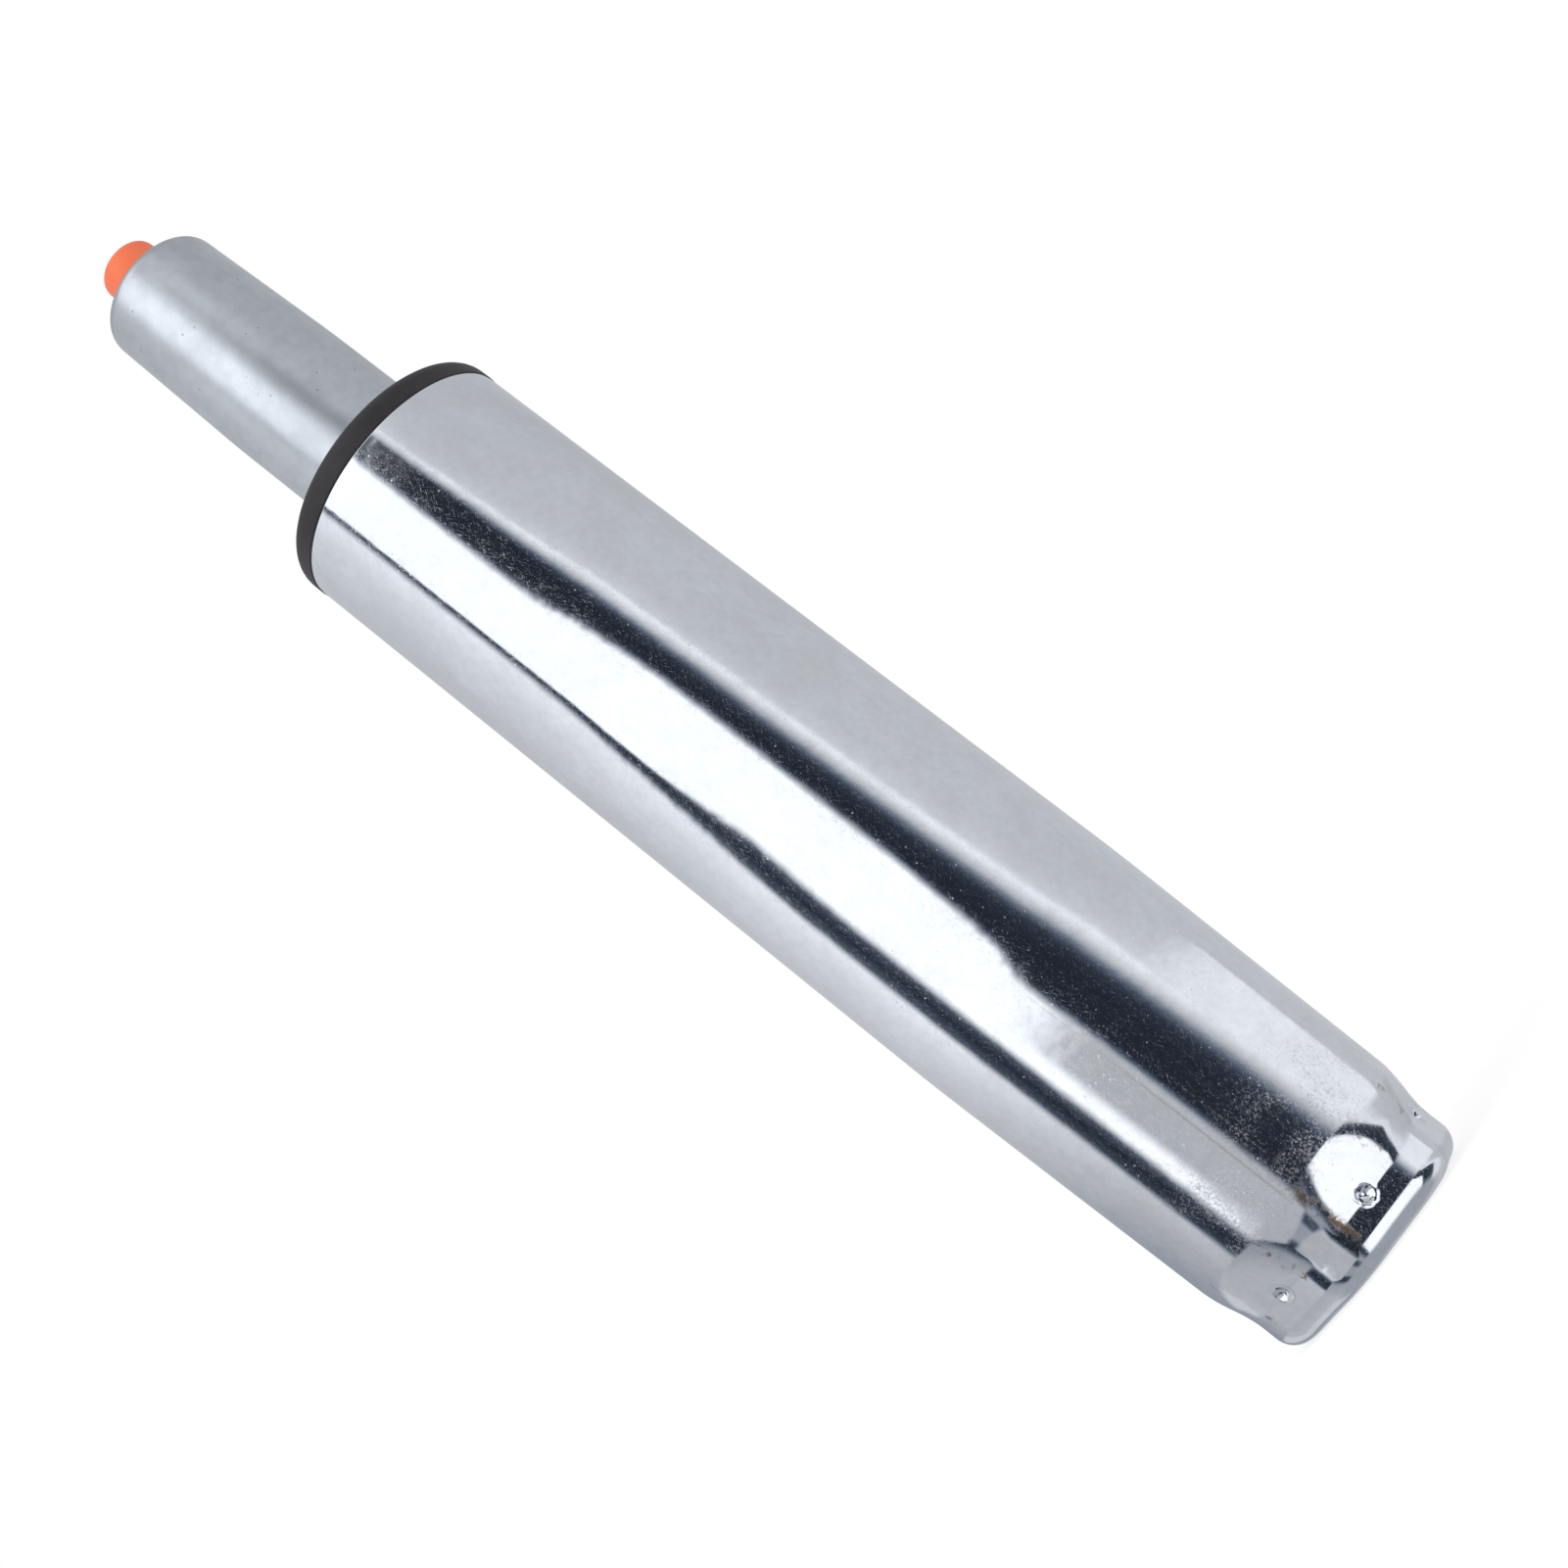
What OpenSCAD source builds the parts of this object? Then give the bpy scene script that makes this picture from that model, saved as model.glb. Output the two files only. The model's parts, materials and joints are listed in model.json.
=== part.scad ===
// Chair gas lift cylinder, shown in its lowered position.
// The origin is the centre of the foot, where the column stands; +Z runs up to the release button.
// The column stays in the chair's base. The rod hangs in it on a ball bearing and turns.
// The pressure tube carries the seat and slides on the rod; the button works the valve in its tip.

/* [Column] */
// Outside diameter of the column tube
tube_od = 50; // [46:0.5:54]
// Wall thickness of the column tube
tube_wall = 2; // [1.5:0.1:2.4]
// Height of the column tube, from the floor of the foot to its rim
tube_h = 216; // [200:1:260]
// Height at which the lower cone starts
base_cone_top = 72; // [55:1:90]
// Length of taper for each unit of diameter, on both cones
cone_ratio = 20; // [16:1:30]

/* [Crimped foot] */
// Number of crimps round the foot
crimps = 6; // [4:1:8]
// Angle of the first crimp about the axis
crimp_turn = 43.5; // [0:0.5:60]
// Distance from the axis to the flat of each crimp
crimp_apothem = 21; // [20.4:0.1:21.6]
// Depth of a crimp's flat below the ridges beside it
crimp_depth = 1.7; // [1.2:0.1:2]
// Height at which the crimped shoulder starts
crimp_top = 17.6; // [16:0.2:20]
// Height at which the crimped shoulder ends and the wall is upright
crimp_low = 6.5; // [5:0.1:8]
// Outside radius of the foot's bottom corner
foot_corner = 4.2; // [3:0.1:5]
// Width of the lip that is rolled in under the base cup, past the corner
foot_lip = 1.4; // [1:0.1:2]
// Diameter of the punched dimple in each crimp
dimple_d = 3; // [2:0.1:4]
// Depth of the punched dimple
dimple_depth = 0.8; // [0.4:0.1:1.1]
// Height of the dimples
dimple_z = 8.3; // [7:0.1:10]

/* [Guide bushing] */
// Height of the black collar on the column's rim
collar_h = 5.5; // [4:0.5:8]
// How far the collar stands proud of the column
collar_proud = 0.15; // [0.1:0.05:1]
// Radius of the collar's rounded top edge
collar_round = 3.2; // [1:0.1:3.4]
// Length of the sleeve inside the column
sleeve_l = 85; // [60:1:110]
// Wall of the sleeve's inner tube
sleeve_wall = 3; // [2:0.1:4]
// Height of the solid band at each end of the sleeve
sleeve_band = 12; // [8:1:18]
// Number of ribs on the sleeve
sleeve_ribs = 12; // [6:2:16]
// Thickness of one rib
sleeve_rib_w = 2; // [1.5:0.1:3]

/* [Pressure tube] */
// Outside diameter of the pressure tube
press_od = 28; // [26:0.5:30]
// Wall thickness of the pressure tube
press_wall = 2; // [1.5:0.1:2.2]
// Length of the pressure tube above the collar, when lowered
press_show = 62; // [50:1:90]
// Length of the seat cone
seat_cone_l = 35; // [30:1:45]
// Radius of the rolled edge at the tip
tip_round = 2.7; // [2:0.1:3.2]
// Radius of the rolled edge at the lower end
tail_round = 2.4; // [1.5:0.1:3]
// Distance from the bore to the edge of the lip that closes the lower end
tail_lip = 3.2; // [2:0.1:4]
// Outside diameter of the inner cylinder
cylinder_od = 21; // [19:0.5:21.4]
// Wall thickness of the inner cylinder
cylinder_wall = 1; // [0.8:0.1:1.3]
// Number of gas slots in each end of the inner cylinder
gas_slots = 4; // [2:1:6]
// Width of one gas slot
gas_slot_w = 2; // [1.5:0.1:3]
// Depth of one gas slot
gas_slot_h = 2.5; // [1.5:0.1:3]

/* [Rod end seals] */
// Thickness of the steel washer in the pressure tube's lower end
end_washer_t = 2; // [1:0.1:3]
// Height of the rod seal
rod_seal_h = 6; // [4:0.5:8]
// Thickness of the support ring above the rod seal
support_t = 2; // [1.5:0.1:3]
// Height of the rod guide below the inner cylinder
guide_h = 12; // [9:0.5:16]
// Length by which a spigot reaches into the inner cylinder
spigot_l = 4; // [3:0.5:6]

/* [Rod and piston] */
// Stroke of the lift
stroke = 100; // [60:5:150]
// Diameter of the piston rod
rod_d = 10; // [9:0.5:11]
// Diameter of the rod's lower stub, which passes through the bearing
stub_d = 8; // [7:0.5:8.5]
// Diameter of the rod's upper stub, which holds the piston
piston_stub_d = 6; // [5:0.5:7]
// Height of the piston
piston_h = 12; // [9:0.5:16]
// Thickness of the washer on the piston
piston_washer_t = 1.5; // [1:0.1:2]
// Height of the riveted head
rivet_h = 2; // [1.5:0.1:3]

/* [Foot bearing] */
// Thickness of the base cup's floor
cup_floor = 2.5; // [2:0.1:4]
// Depth of the recess under the base cup
cup_recess = 5.5; // [5:0.1:6.5]
// Width of the base cup's rim
cup_rim = 3.9; // [2.5:0.1:5]
// Outside diameter of both bearing races
race_od = 26; // [24:0.5:28]
// Thickness of one bearing race
race_t = 2; // [1.6:0.1:2.5]
// Depth of the ball track in a race
track_depth = 0.5; // [0.3:0.05:0.7]
// Diameter of one ball
ball_d = 4; // [3.5:0.1:4.4]
// Number of balls
balls = 10; // [6:1:10]
// Diameter of the circle through the balls' centres
ball_circle_d = 17.6; // [16.8:0.1:18.2]
// Thickness of the ball cage
cage_t = 2; // [1.6:0.1:2.4]
// Outside diameter of the rubber buffer
buffer_od = 22; // [18:0.5:26]
// Height of the rubber buffer
buffer_h = 10; // [6:0.5:14]
// Outside diameter of the washer under the base cup
clip_washer_od = 18; // [15:0.5:21]
// Thickness of the washer under the base cup
clip_washer_t = 1.2; // [0.8:0.1:1.4]
// Thickness of the retaining clip
clip_t = 1; // [0.8:0.1:1.2]
// Outside diameter of the retaining clip
clip_od = 14; // [12:0.5:16]
// Depth of the clip's groove in the rod
clip_groove = 0.8; // [0.5:0.1:1]

/* [Valve and button] */
// Height of the upper valve body
valve_body_h = 19.5; // [17:0.5:22]
// Height of the ring between the valve's two halves
valve_spacer_h = 3; // [2.6:0.1:4]
// Height of the valve seat above the inner cylinder
valve_seat_h = 11.5; // [9:0.5:14]
// Diameter of the valve pin
pin_d = 4; // [3.4:0.1:4.4]
// Diameter of the pin's waist, where the gas passes
pin_waist_d = 2.4; // [2:0.1:2.8]
// Diameter of the head that closes the valve
pin_head_d = 8; // [7:0.1:9]
// Height of the valve's head
pin_head_h = 4.5; // [3:0.1:6]
// Thickness of the rubber and of the round seals
seal_d = 2; // [1.6:0.1:2.2]
// Diameter of the release button
button_d = 12.6; // [11:0.1:13]
// Height of the button's straight side above the tube's tip
button_side = 7.2; // [5:0.1:10]
// Radius of the button's edge
button_round = 2; // [1:0.1:2.6]
// Radius of the button's crowned top
button_crown = 16; // [12:0.5:30]
// Width of the shoulder that keeps the button in
button_shoulder = 1; // [0.6:0.1:1.4]
// Height of that shoulder
shoulder_h = 2.1; // [1.5:0.1:2.6]
// Travel of the button
button_travel = 3; // [2:0.1:3.4]

/* [Fits] */
// Radial clearance of a running fit
running_gap = 0.06; // [0.04:0.01:0.1]
// Radial clearance between two pieces that don't move on each other
seat_gap = 0.03; // [0.02:0.01:0.06]
// Clearance between pieces that pass without touching
free_gap = 0.3; // [0.3:0.05:0.4]

/* [Hidden] */
$fn = 96;
far = 400;
tube_r = tube_od / 2;
tube_ri = tube_r - tube_wall;
shoulder_r = cone_radius(crimp_top);
ridge_r = crimp_apothem + crimp_depth;
lip_r = crimp_apothem - foot_corner - foot_lip;
crimp_lead = 0.15;
crimp_dip = 0.05;
corner_min = 0.3;
arc_steps = 5;

collar_top = tube_h + collar_h;
collar_r = tube_r + collar_proud;
press_r = press_od / 2;
bush_bore_r = press_r + running_gap;
bush_r = tube_ri - seat_gap;
bush_chamfer = 0.8;

cup_z = tube_wall;
cup_r = crimp_apothem - tube_wall - seat_gap;
cup_floor_z = cup_z + cup_recess;
cup_top = cup_floor_z + cup_floor;
cup_chamfer = max(foot_corner - tube_wall, corner_min) + seat_gap;

rod_r = rod_d / 2;
stub_r = stub_d / 2;
piston_stub_r = piston_stub_d / 2;
race_r = race_od / 2;
ball_r = ball_d / 2;
ball_gap = 0.05;
track_r = ball_r + 3 * ball_gap;
ball_circle_r = ball_circle_d / 2;
lower_race_top = cup_top + race_t;
ball_z = lower_race_top - track_depth + ball_gap + ball_r;
upper_race_z = ball_z + ball_r + ball_gap - track_depth;
rod_shoulder_z = upper_race_z + race_t;
buffer_top = rod_shoulder_z + buffer_h;
pocket_r = ball_r + 2 * ball_gap;
cage_web = 1;

clip_washer_top = cup_floor_z - free_gap;
clip_top = clip_washer_top - clip_washer_t;
clip_z = clip_top - clip_t;
clip_r = clip_od / 2;
groove_r = stub_r - clip_groove;
rod_end_z = clip_z - 1.2;
rod_chamfer = 0.6;

tail_z = buffer_top + 0.5;
tip_z = collar_top + press_show;
cone_z = tip_z - seat_cone_l;
tail_lip_r = rod_r + tail_lip;
end_washer_z = tail_z + press_wall;
rod_seal_z = end_washer_z + end_washer_t;
support_z = rod_seal_z + rod_seal_h;
guide_z = support_z + support_t;
guide_top = guide_z + guide_h;
cylinder_r = cylinder_od / 2;
cylinder_ri = cylinder_r - cylinder_wall;
spigot_r = cylinder_ri - seat_gap;

piston_z = guide_top + spigot_l + stroke + 0.5;
piston_top = piston_z + piston_h;
piston_r = cylinder_ri - running_gap;
piston_head_z = piston_top + piston_washer_t;
piston_washer_r = piston_stub_r + 2.6;
rivet_r = piston_stub_r + 1.2;
groove_slack = 0.1;

lip_under = tip_z - press_wall;
body_z = lip_under - valve_body_h;
spacer_z = body_z - valve_spacer_h;
seat_z = spacer_z - valve_seat_h;
body_groove_z = body_z + 4;
tip_corner = max(tip_round - press_wall, corner_min) + 0.2;
button_r = button_d / 2;
tip_hole_r = button_r + free_gap;
shoulder_out_r = button_r + button_shoulder;
button_z = lip_under - free_gap - shoulder_h;
button_edge_z = tip_z + button_side;
well_floor = button_z - button_travel - 0.6;
well_r = shoulder_out_r + free_gap;
pin_r = pin_d / 2;
seal_r = seal_d / 2;
pin_head_top = seat_z - spigot_l - free_gap;
pin_socket = 5;
crown_centre = button_edge_z - sqrt(pow(button_crown - button_round, 2) - pow(button_r - button_round, 2));
crown_edge = (button_r - button_round) * button_crown / (button_crown - button_round);

// Outside radius of the column's lower cone at a height.
function cone_radius(z) = tube_r - max(0, base_cone_top - z) / (2 * cone_ratio);

// Inside radius of the pressure tube at a height.
function press_inside(z) = press_r - press_wall - max(0, z - cone_z) / (2 * cone_ratio);

// A filled ring in the section plane, from one radius to another.
module band(r0, r1, z0, z1) {
    translate([r0, z0]) square([r1 - r0, z1 - z0]);
}

// Points along an arc in the section plane, from one angle to another.
function arc(x, z, r, a0, a1) = [for (i = [0 : arc_steps]) let (a = a0 + (a1 - a0) * i / arc_steps)
    [x + r * cos(a), z + r * sin(a)]];

// The inside of the foot's section: corner, upright wall and S-shaped shoulder up to crimp_top.
// The two arcs of the shoulder meet halfway up and leave upright at both ends.
module foot_section(face_r, top_r, inset, dip = 0) {
    r = face_r - inset;
    bottom = inset - dip;
    corner = max(foot_corner - inset, corner_min);
    step = top_r - face_r;
    rise = crimp_top - crimp_low;
    bend = (rise * rise + step * step) / (4 * step);
    turn = asin(rise / (2 * bend));
    polygon(concat([[0, bottom]],
        arc(r - corner, bottom + corner, corner, -90, 0),
        arc(r + bend, crimp_low, bend, 180, 180 - turn),
        arc(r + step - bend, crimp_top, bend, -turn, 0),
        [[0, crimp_top]]));
}

// The column's round form, drawn in by the crimps, at a depth below the outside surface.
module crimped_form(inset) {
    difference() {
        rotate_extrude() {
            foot_section(ridge_r, shoulder_r, inset);
            polygon([[0, crimp_top], [shoulder_r - inset, crimp_top],
                [tube_r - inset, base_cone_top], [0, base_cone_top]]);
            band(0, tube_r - inset, base_cone_top, tube_h);
        }
        for (i = [0 : crimps - 1]) rotate(crimp_turn + i * 360 / crimps) crimp_cutter(inset);
    }
}

// Everything outside one crimp's flat, from below the foot to the top of the shoulder.
module crimp_cutter(inset) {
    width = 2 * shoulder_r * tan(180 / crimps);
    translate([0, width / 2, 0]) rotate([90, 0, 0]) linear_extrude(width) difference() {
        band(crimp_apothem - foot_corner - 2, tube_r + 2, -1, crimp_top);
        foot_section(crimp_apothem, shoulder_r + crimp_lead, inset, crimp_dip);
    }
}

module dimple() {
    ball = (pow(dimple_d / 2, 2) + dimple_depth * dimple_depth) / (2 * dimple_depth);
    translate([crimp_apothem + ball - dimple_depth, 0, dimple_z]) sphere(ball);
}

module outer_tube() {
    color("silver") difference() {
        crimped_form(0);
        crimped_form(tube_wall);
        translate([0, 0, tube_h - 1]) cylinder(r = tube_ri, h = 2);
        translate([0, 0, -1]) cylinder(r = lip_r, h = tube_wall + 2);
        for (i = [0 : crimps - 1]) rotate(crimp_turn + i * 360 / crimps) dimple();
    }
}

module guide_bushing() {
    sleeve_z = tube_h - sleeve_l;
    core_r = bush_bore_r + sleeve_wall;
    color([0.14, 0.14, 0.14]) {
        rotate_extrude() difference() {
            union() {
                band(0, collar_r, tube_h, collar_top - collar_round);
                band(0, collar_r - collar_round, tube_h, collar_top);
                translate([collar_r - collar_round, collar_top - collar_round]) intersection() {
                    circle(collar_round);
                    square(collar_round);
                }
                band(0, core_r, sleeve_z, tube_h);
                band(0, bush_r, sleeve_z, sleeve_z + sleeve_band);
                band(0, bush_r, tube_h - sleeve_band, tube_h);
            }
            band(0, bush_bore_r, sleeve_z - 1, collar_top + 1);
            polygon([[0, collar_top + 1], [bush_bore_r + bush_chamfer + 1, collar_top + 1],
                [bush_bore_r, collar_top - bush_chamfer], [0, collar_top - bush_chamfer]]);
        }
        for (i = [0 : sleeve_ribs - 1]) rotate(i * 360 / sleeve_ribs) sleeve_rib(core_r, sleeve_z);
    }
}

// One rib of the sleeve; it ends a little short of the bands, inside the column's bore.
module sleeve_rib(core_r, sleeve_z) {
    root = 0.5;
    reach = sqrt(bush_r * bush_r - sleeve_rib_w * sleeve_rib_w / 4) - 0.2;
    translate([core_r - root, -sleeve_rib_w / 2, sleeve_z + sleeve_band - root])
        cube([reach - core_r + root, sleeve_rib_w, sleeve_l - 2 * sleeve_band + 2 * root]);
}

module base_cup() {
    color("gray") rotate_extrude() difference() {
        polygon([[0, cup_z], [cup_r - cup_chamfer, cup_z], [cup_r, cup_z + cup_chamfer],
            [cup_r, cup_top - 0.5], [cup_r - 0.5, cup_top], [0, cup_top]]);
        band(0, cup_r - cup_rim, cup_z - 1, cup_floor_z);
        band(0, stub_r + running_gap, cup_z, cup_top + 1);
    }
}

// A bearing race with its ball track facing up.
module race(bore_r) {
    difference() {
        band(bore_r, race_r, 0, race_t);
        translate([ball_circle_r, race_t - track_depth + track_r]) circle(track_r);
    }
}

module lower_race() {
    color("lightsteelblue") rotate_extrude() translate([0, cup_top]) race(stub_r + free_gap);
}

module upper_race() {
    color("lightsteelblue") rotate_extrude()
        translate([0, rod_shoulder_z]) mirror([0, 1]) race(stub_r);
}

module ball_ring(r) {
    for (i = [0 : balls - 1]) rotate(i * 360 / balls) translate([ball_circle_r, 0, ball_z]) children();
}

module ball_cage() {
    color("goldenrod") difference() {
        rotate_extrude() band(ball_circle_r - pocket_r - cage_web, ball_circle_r + pocket_r + cage_web,
            ball_z - cage_t / 2, ball_z + cage_t / 2);
        ball_ring() cylinder(r = pocket_r, h = cage_t + 2, center = true);
    }
}

module bearing_balls() {
    color("gainsboro") ball_ring() sphere(ball_r);
}

module piston_rod() {
    color("whitesmoke") rotate_extrude() difference() {
        union() {
            band(0, stub_r, rod_end_z, rod_shoulder_z);
            band(0, rod_r, rod_shoulder_z, piston_z);
            band(0, piston_stub_r, piston_z, piston_head_z);
            band(0, rivet_r, piston_head_z, piston_head_z + rivet_h);
        }
        band(groove_r, stub_r + 1, clip_z, clip_top);
        polygon([[stub_r - rod_chamfer, rod_end_z], [stub_r + 1, rod_end_z + rod_chamfer + 1],
            [stub_r + 1, rod_end_z]]);
        polygon([[rivet_r - rivet_h / 2, piston_head_z + rivet_h],
            [rivet_r, piston_head_z + rivet_h / 2], [rivet_r, piston_head_z + rivet_h]]);
    }
}

module rubber_buffer() {
    edge = 1.5;
    color("dimgray") rotate_extrude() polygon([[rod_r, rod_shoulder_z],
        [buffer_od / 2 - edge, rod_shoulder_z], [buffer_od / 2, rod_shoulder_z + edge],
        [buffer_od / 2, buffer_top - edge], [buffer_od / 2 - edge, buffer_top], [rod_r, buffer_top]]);
}

module clip_washer() {
    color("silver") rotate_extrude() band(stub_r, clip_washer_od / 2, clip_top, clip_washer_top);
}

// A spring clip with three inner fingers, pushed on from the side.
module retaining_clip() {
    relief = clip_r - groove_r;
    color("slategray") translate([0, 0, clip_z]) difference() {
        cylinder(r = clip_r, h = clip_t);
        translate([0, 0, -1]) cylinder(r = groove_r, h = clip_t + 2);
        translate([0, -groove_r * 0.9, -1]) cube([clip_r + 1, groove_r * 1.8, clip_t + 2]);
        for (a = [115, 245]) rotate(a) translate([groove_r, 0, -1])
            cylinder(r = relief * 0.45, h = clip_t + 2);
    }
}

module piston() {
    ring_z = piston_z + piston_h / 2;
    color("lightgray") rotate_extrude() difference() {
        band(piston_stub_r, piston_r, piston_z, piston_top);
        band(piston_r - seal_d, piston_r + 1, ring_z - seal_r - groove_slack, ring_z + seal_r + groove_slack);
    }
}

// A round seal about the axis, given by its inner or outer radius at a height.
module o_ring(centre_r, z) {
    rotate_extrude() translate([centre_r, z]) circle(seal_r);
}

module piston_ring() {
    color([0.1, 0.1, 0.1]) o_ring(piston_r - seal_r, piston_z + piston_h / 2);
}

module piston_washer() {
    color("silver") rotate_extrude() band(piston_stub_r, piston_washer_r, piston_top, piston_head_z);
}

// The pressure tube's outside in section: rolled tail, straight part, seat cone and rolled tip.
module pressure_section(inset) {
    tail = max(tail_round - inset, corner_min);
    tip = max(tip_round - inset, corner_min);
    r = press_r - inset;
    tip_r = r - (seat_cone_l - tip_round) / (2 * cone_ratio);
    z0 = tail_z + inset;
    z1 = tip_z - inset;
    band(0, r - tail, z0, z0 + tail);
    translate([r - tail, z0 + tail]) circle(tail);
    band(0, r, z0 + tail, cone_z);
    polygon([[0, cone_z], [r, cone_z], [tip_r, z1 - tip], [0, z1 - tip]]);
    band(0, tip_r - tip, z1 - tip, z1);
    translate([tip_r - tip, z1 - tip]) circle(tip);
}

module pressure_tube() {
    color("darkgray") rotate_extrude() difference() {
        pressure_section(0);
        pressure_section(press_wall);
        band(0, tail_lip_r, tail_z - 1, tail_z + press_wall + 1);
        band(0, tip_hole_r, tip_z - press_wall - 1, tip_z + 1);
    }
}

// A disc that fills the pressure tube's straight bore round a hole.
module bore_disc(hole_r, z0, z1) {
    r = press_inside(z0) - seat_gap;
    cut = max(tail_round - press_wall, corner_min);
    difference() {
        band(hole_r, r, z0, z1);
        polygon([[r - cut, z0], [r + 1, z0 - 1], [r + 1, z0 + cut + 1]]);
    }
}

module end_washer() {
    color("silver") rotate_extrude() bore_disc(rod_r + free_gap, end_washer_z, rod_seal_z);
}

module rod_seal() {
    lip = 1.2;
    r = press_inside(rod_seal_z) - seat_gap;
    color([0.1, 0.1, 0.1]) rotate_extrude() difference() {
        band(rod_r + running_gap, r, rod_seal_z, support_z);
        polygon([[rod_r + lip, support_z + 1], [rod_r + lip, support_z - rod_seal_h / 2],
            [r - lip, support_z - rod_seal_h / 2], [r - lip, support_z + 1]]);
    }
}

module seal_support() {
    color("ivory") rotate_extrude() bore_disc(rod_r + free_gap, support_z, guide_z);
}

module rod_guide() {
    ring_z = guide_z + guide_h / 2;
    r = press_inside(guide_z) - seat_gap;
    color("ivory") difference() {
        rotate_extrude() difference() {
            union() {
                band(rod_r + running_gap, r, guide_z, guide_top);
                band(rod_r + running_gap, spigot_r, guide_top, guide_top + spigot_l);
            }
            band(r - seal_d, r + 1, ring_z - seal_r - groove_slack, ring_z + seal_r + groove_slack);
        }
        for (i = [0 : gas_slots - 1]) rotate(i * 360 / gas_slots)
            translate([spigot_r - 1.5, -gas_slot_w / 2, guide_top]) cube([4, gas_slot_w, spigot_l + 1]);
    }
}

module guide_o_ring() {
    color([0.1, 0.1, 0.1]) o_ring(press_inside(guide_z) - seat_gap - seal_r, guide_z + guide_h / 2);
}

module inner_cylinder() {
    top = seat_z;
    color("lightgray") difference() {
        translate([0, 0, guide_top]) cylinder(r = cylinder_r, h = top - guide_top);
        translate([0, 0, guide_top - 1]) cylinder(r = cylinder_ri, h = top - guide_top + 2);
        for (i = [0 : gas_slots - 1], z = [guide_top - 1, top - gas_slot_h]) rotate(i * 360 / gas_slots)
            translate([cylinder_ri - 1, -gas_slot_w / 2, z]) cube([cylinder_wall + 2, gas_slot_w, gas_slot_h + 1]);
    }
}

// A piece of the valve stack in section: it follows the tube's inside from one height to another.
module stack_section(z0, z1, hole_r) {
    difference() {
        union() {
            polygon([[hole_r, z0], [press_inside(z0) - seat_gap, z0],
                [press_inside(max(cone_z, z0)) - seat_gap, max(cone_z, z0)],
                [press_inside(z1) - seat_gap, z1], [hole_r, z1]]);
        }
        children();
    }
}

// The groove in the valve stack for a seal at a height.
module stack_groove(z) {
    r = press_inside(z) - seat_gap;
    band(r - seal_d - groove_slack, r + 2, z - seal_r - groove_slack, z + seal_r + groove_slack);
}

module valve_seat() {
    hole_r = pin_r + running_gap;
    bottom = seat_z - spigot_l;
    chamfer = 1;
    color("burlywood") difference() {
        rotate_extrude() {
            stack_section(seat_z, spacer_z, hole_r) stack_groove(seat_z + valve_seat_h / 2);
            difference() {
                band(hole_r, spigot_r, bottom, seat_z);
                polygon([[0, bottom - 1], [hole_r + chamfer + 1, bottom - 1], [hole_r, bottom + chamfer]]);
            }
        }
        translate([0, 0, seat_z + 2]) rotate([0, 90, 0]) cylinder(r = 0.8, h = press_r);
    }
}

module seat_o_ring() {
    z = seat_z + valve_seat_h / 2;
    color([0.1, 0.1, 0.1]) o_ring(press_inside(z) - seat_gap - seal_r - groove_slack, z);
}

module valve_spacer() {
    color("silver") rotate_extrude() stack_section(spacer_z, body_z, pin_r + seal_d + 4 * seat_gap);
}

module pin_o_ring() {
    color([0.1, 0.1, 0.1]) o_ring(pin_r + running_gap + seal_r, spacer_z + valve_spacer_h / 2);
}

module valve_body() {
    top_r = press_inside(lip_under) - seat_gap;
    color("burlywood") rotate_extrude() stack_section(body_z, lip_under, pin_r + running_gap) {
        stack_groove(body_groove_z);
        band(0, well_r, well_floor, lip_under + 1);
        polygon([[top_r - tip_corner, lip_under + 0.01], [top_r + 1, lip_under + 0.01],
            [top_r + 1, lip_under - tip_corner - 1]]);
    }
}

module body_o_ring() {
    z = body_groove_z;
    color([0.1, 0.1, 0.1]) o_ring(press_inside(z) - seat_gap - seal_r - groove_slack, z);
}

module valve_pin() {
    head_r = pin_head_d / 2;
    head_z = pin_head_top - pin_head_h;
    color("silver") rotate_extrude() difference() {
        union() {
            band(0, head_r, head_z, pin_head_top);
            band(0, pin_r, pin_head_top, button_z + pin_socket);
        }
        band(pin_waist_d / 2, pin_r + 1, pin_head_top + free_gap, seat_z + 4);
        polygon([[head_r - 1, head_z], [head_r + 1, head_z + 2], [head_r + 1, head_z]]);
    }
}

module release_button() {
    color("tomato") rotate_extrude() difference() {
        union() {
            band(0, shoulder_out_r, button_z, button_z + shoulder_h);
            band(0, button_r, button_z, button_edge_z);
            translate([button_r - button_round, button_edge_z]) circle(button_round);
            intersection() {
                translate([0, crown_centre]) circle(button_crown);
                band(0, crown_edge, button_edge_z, far);
            }
        }
        band(0, pin_r, button_z - 1, button_z + pin_socket);
    }
}

outer_tube();
guide_bushing();
base_cup();
lower_race();
ball_cage();
bearing_balls();
piston_rod();
upper_race();
rubber_buffer();
clip_washer();
retaining_clip();
piston();
piston_ring();
piston_washer();
pressure_tube();
end_washer();
rod_seal();
seal_support();
rod_guide();
guide_o_ring();
inner_cylinder();
valve_seat();
seat_o_ring();
valve_spacer();
pin_o_ring();
valve_body();
body_o_ring();
valve_pin();
release_button();
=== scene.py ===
"""Looks of a chair gas lift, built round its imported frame: pieces, finishes, studio and camera."""

import json
import math
from functools import cache
from typing import NamedTuple

import bmesh
import bpy
from bpy.props import FloatProperty, FloatVectorProperty, IntProperty, PointerProperty
from mathutils import Matrix, Vector

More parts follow.
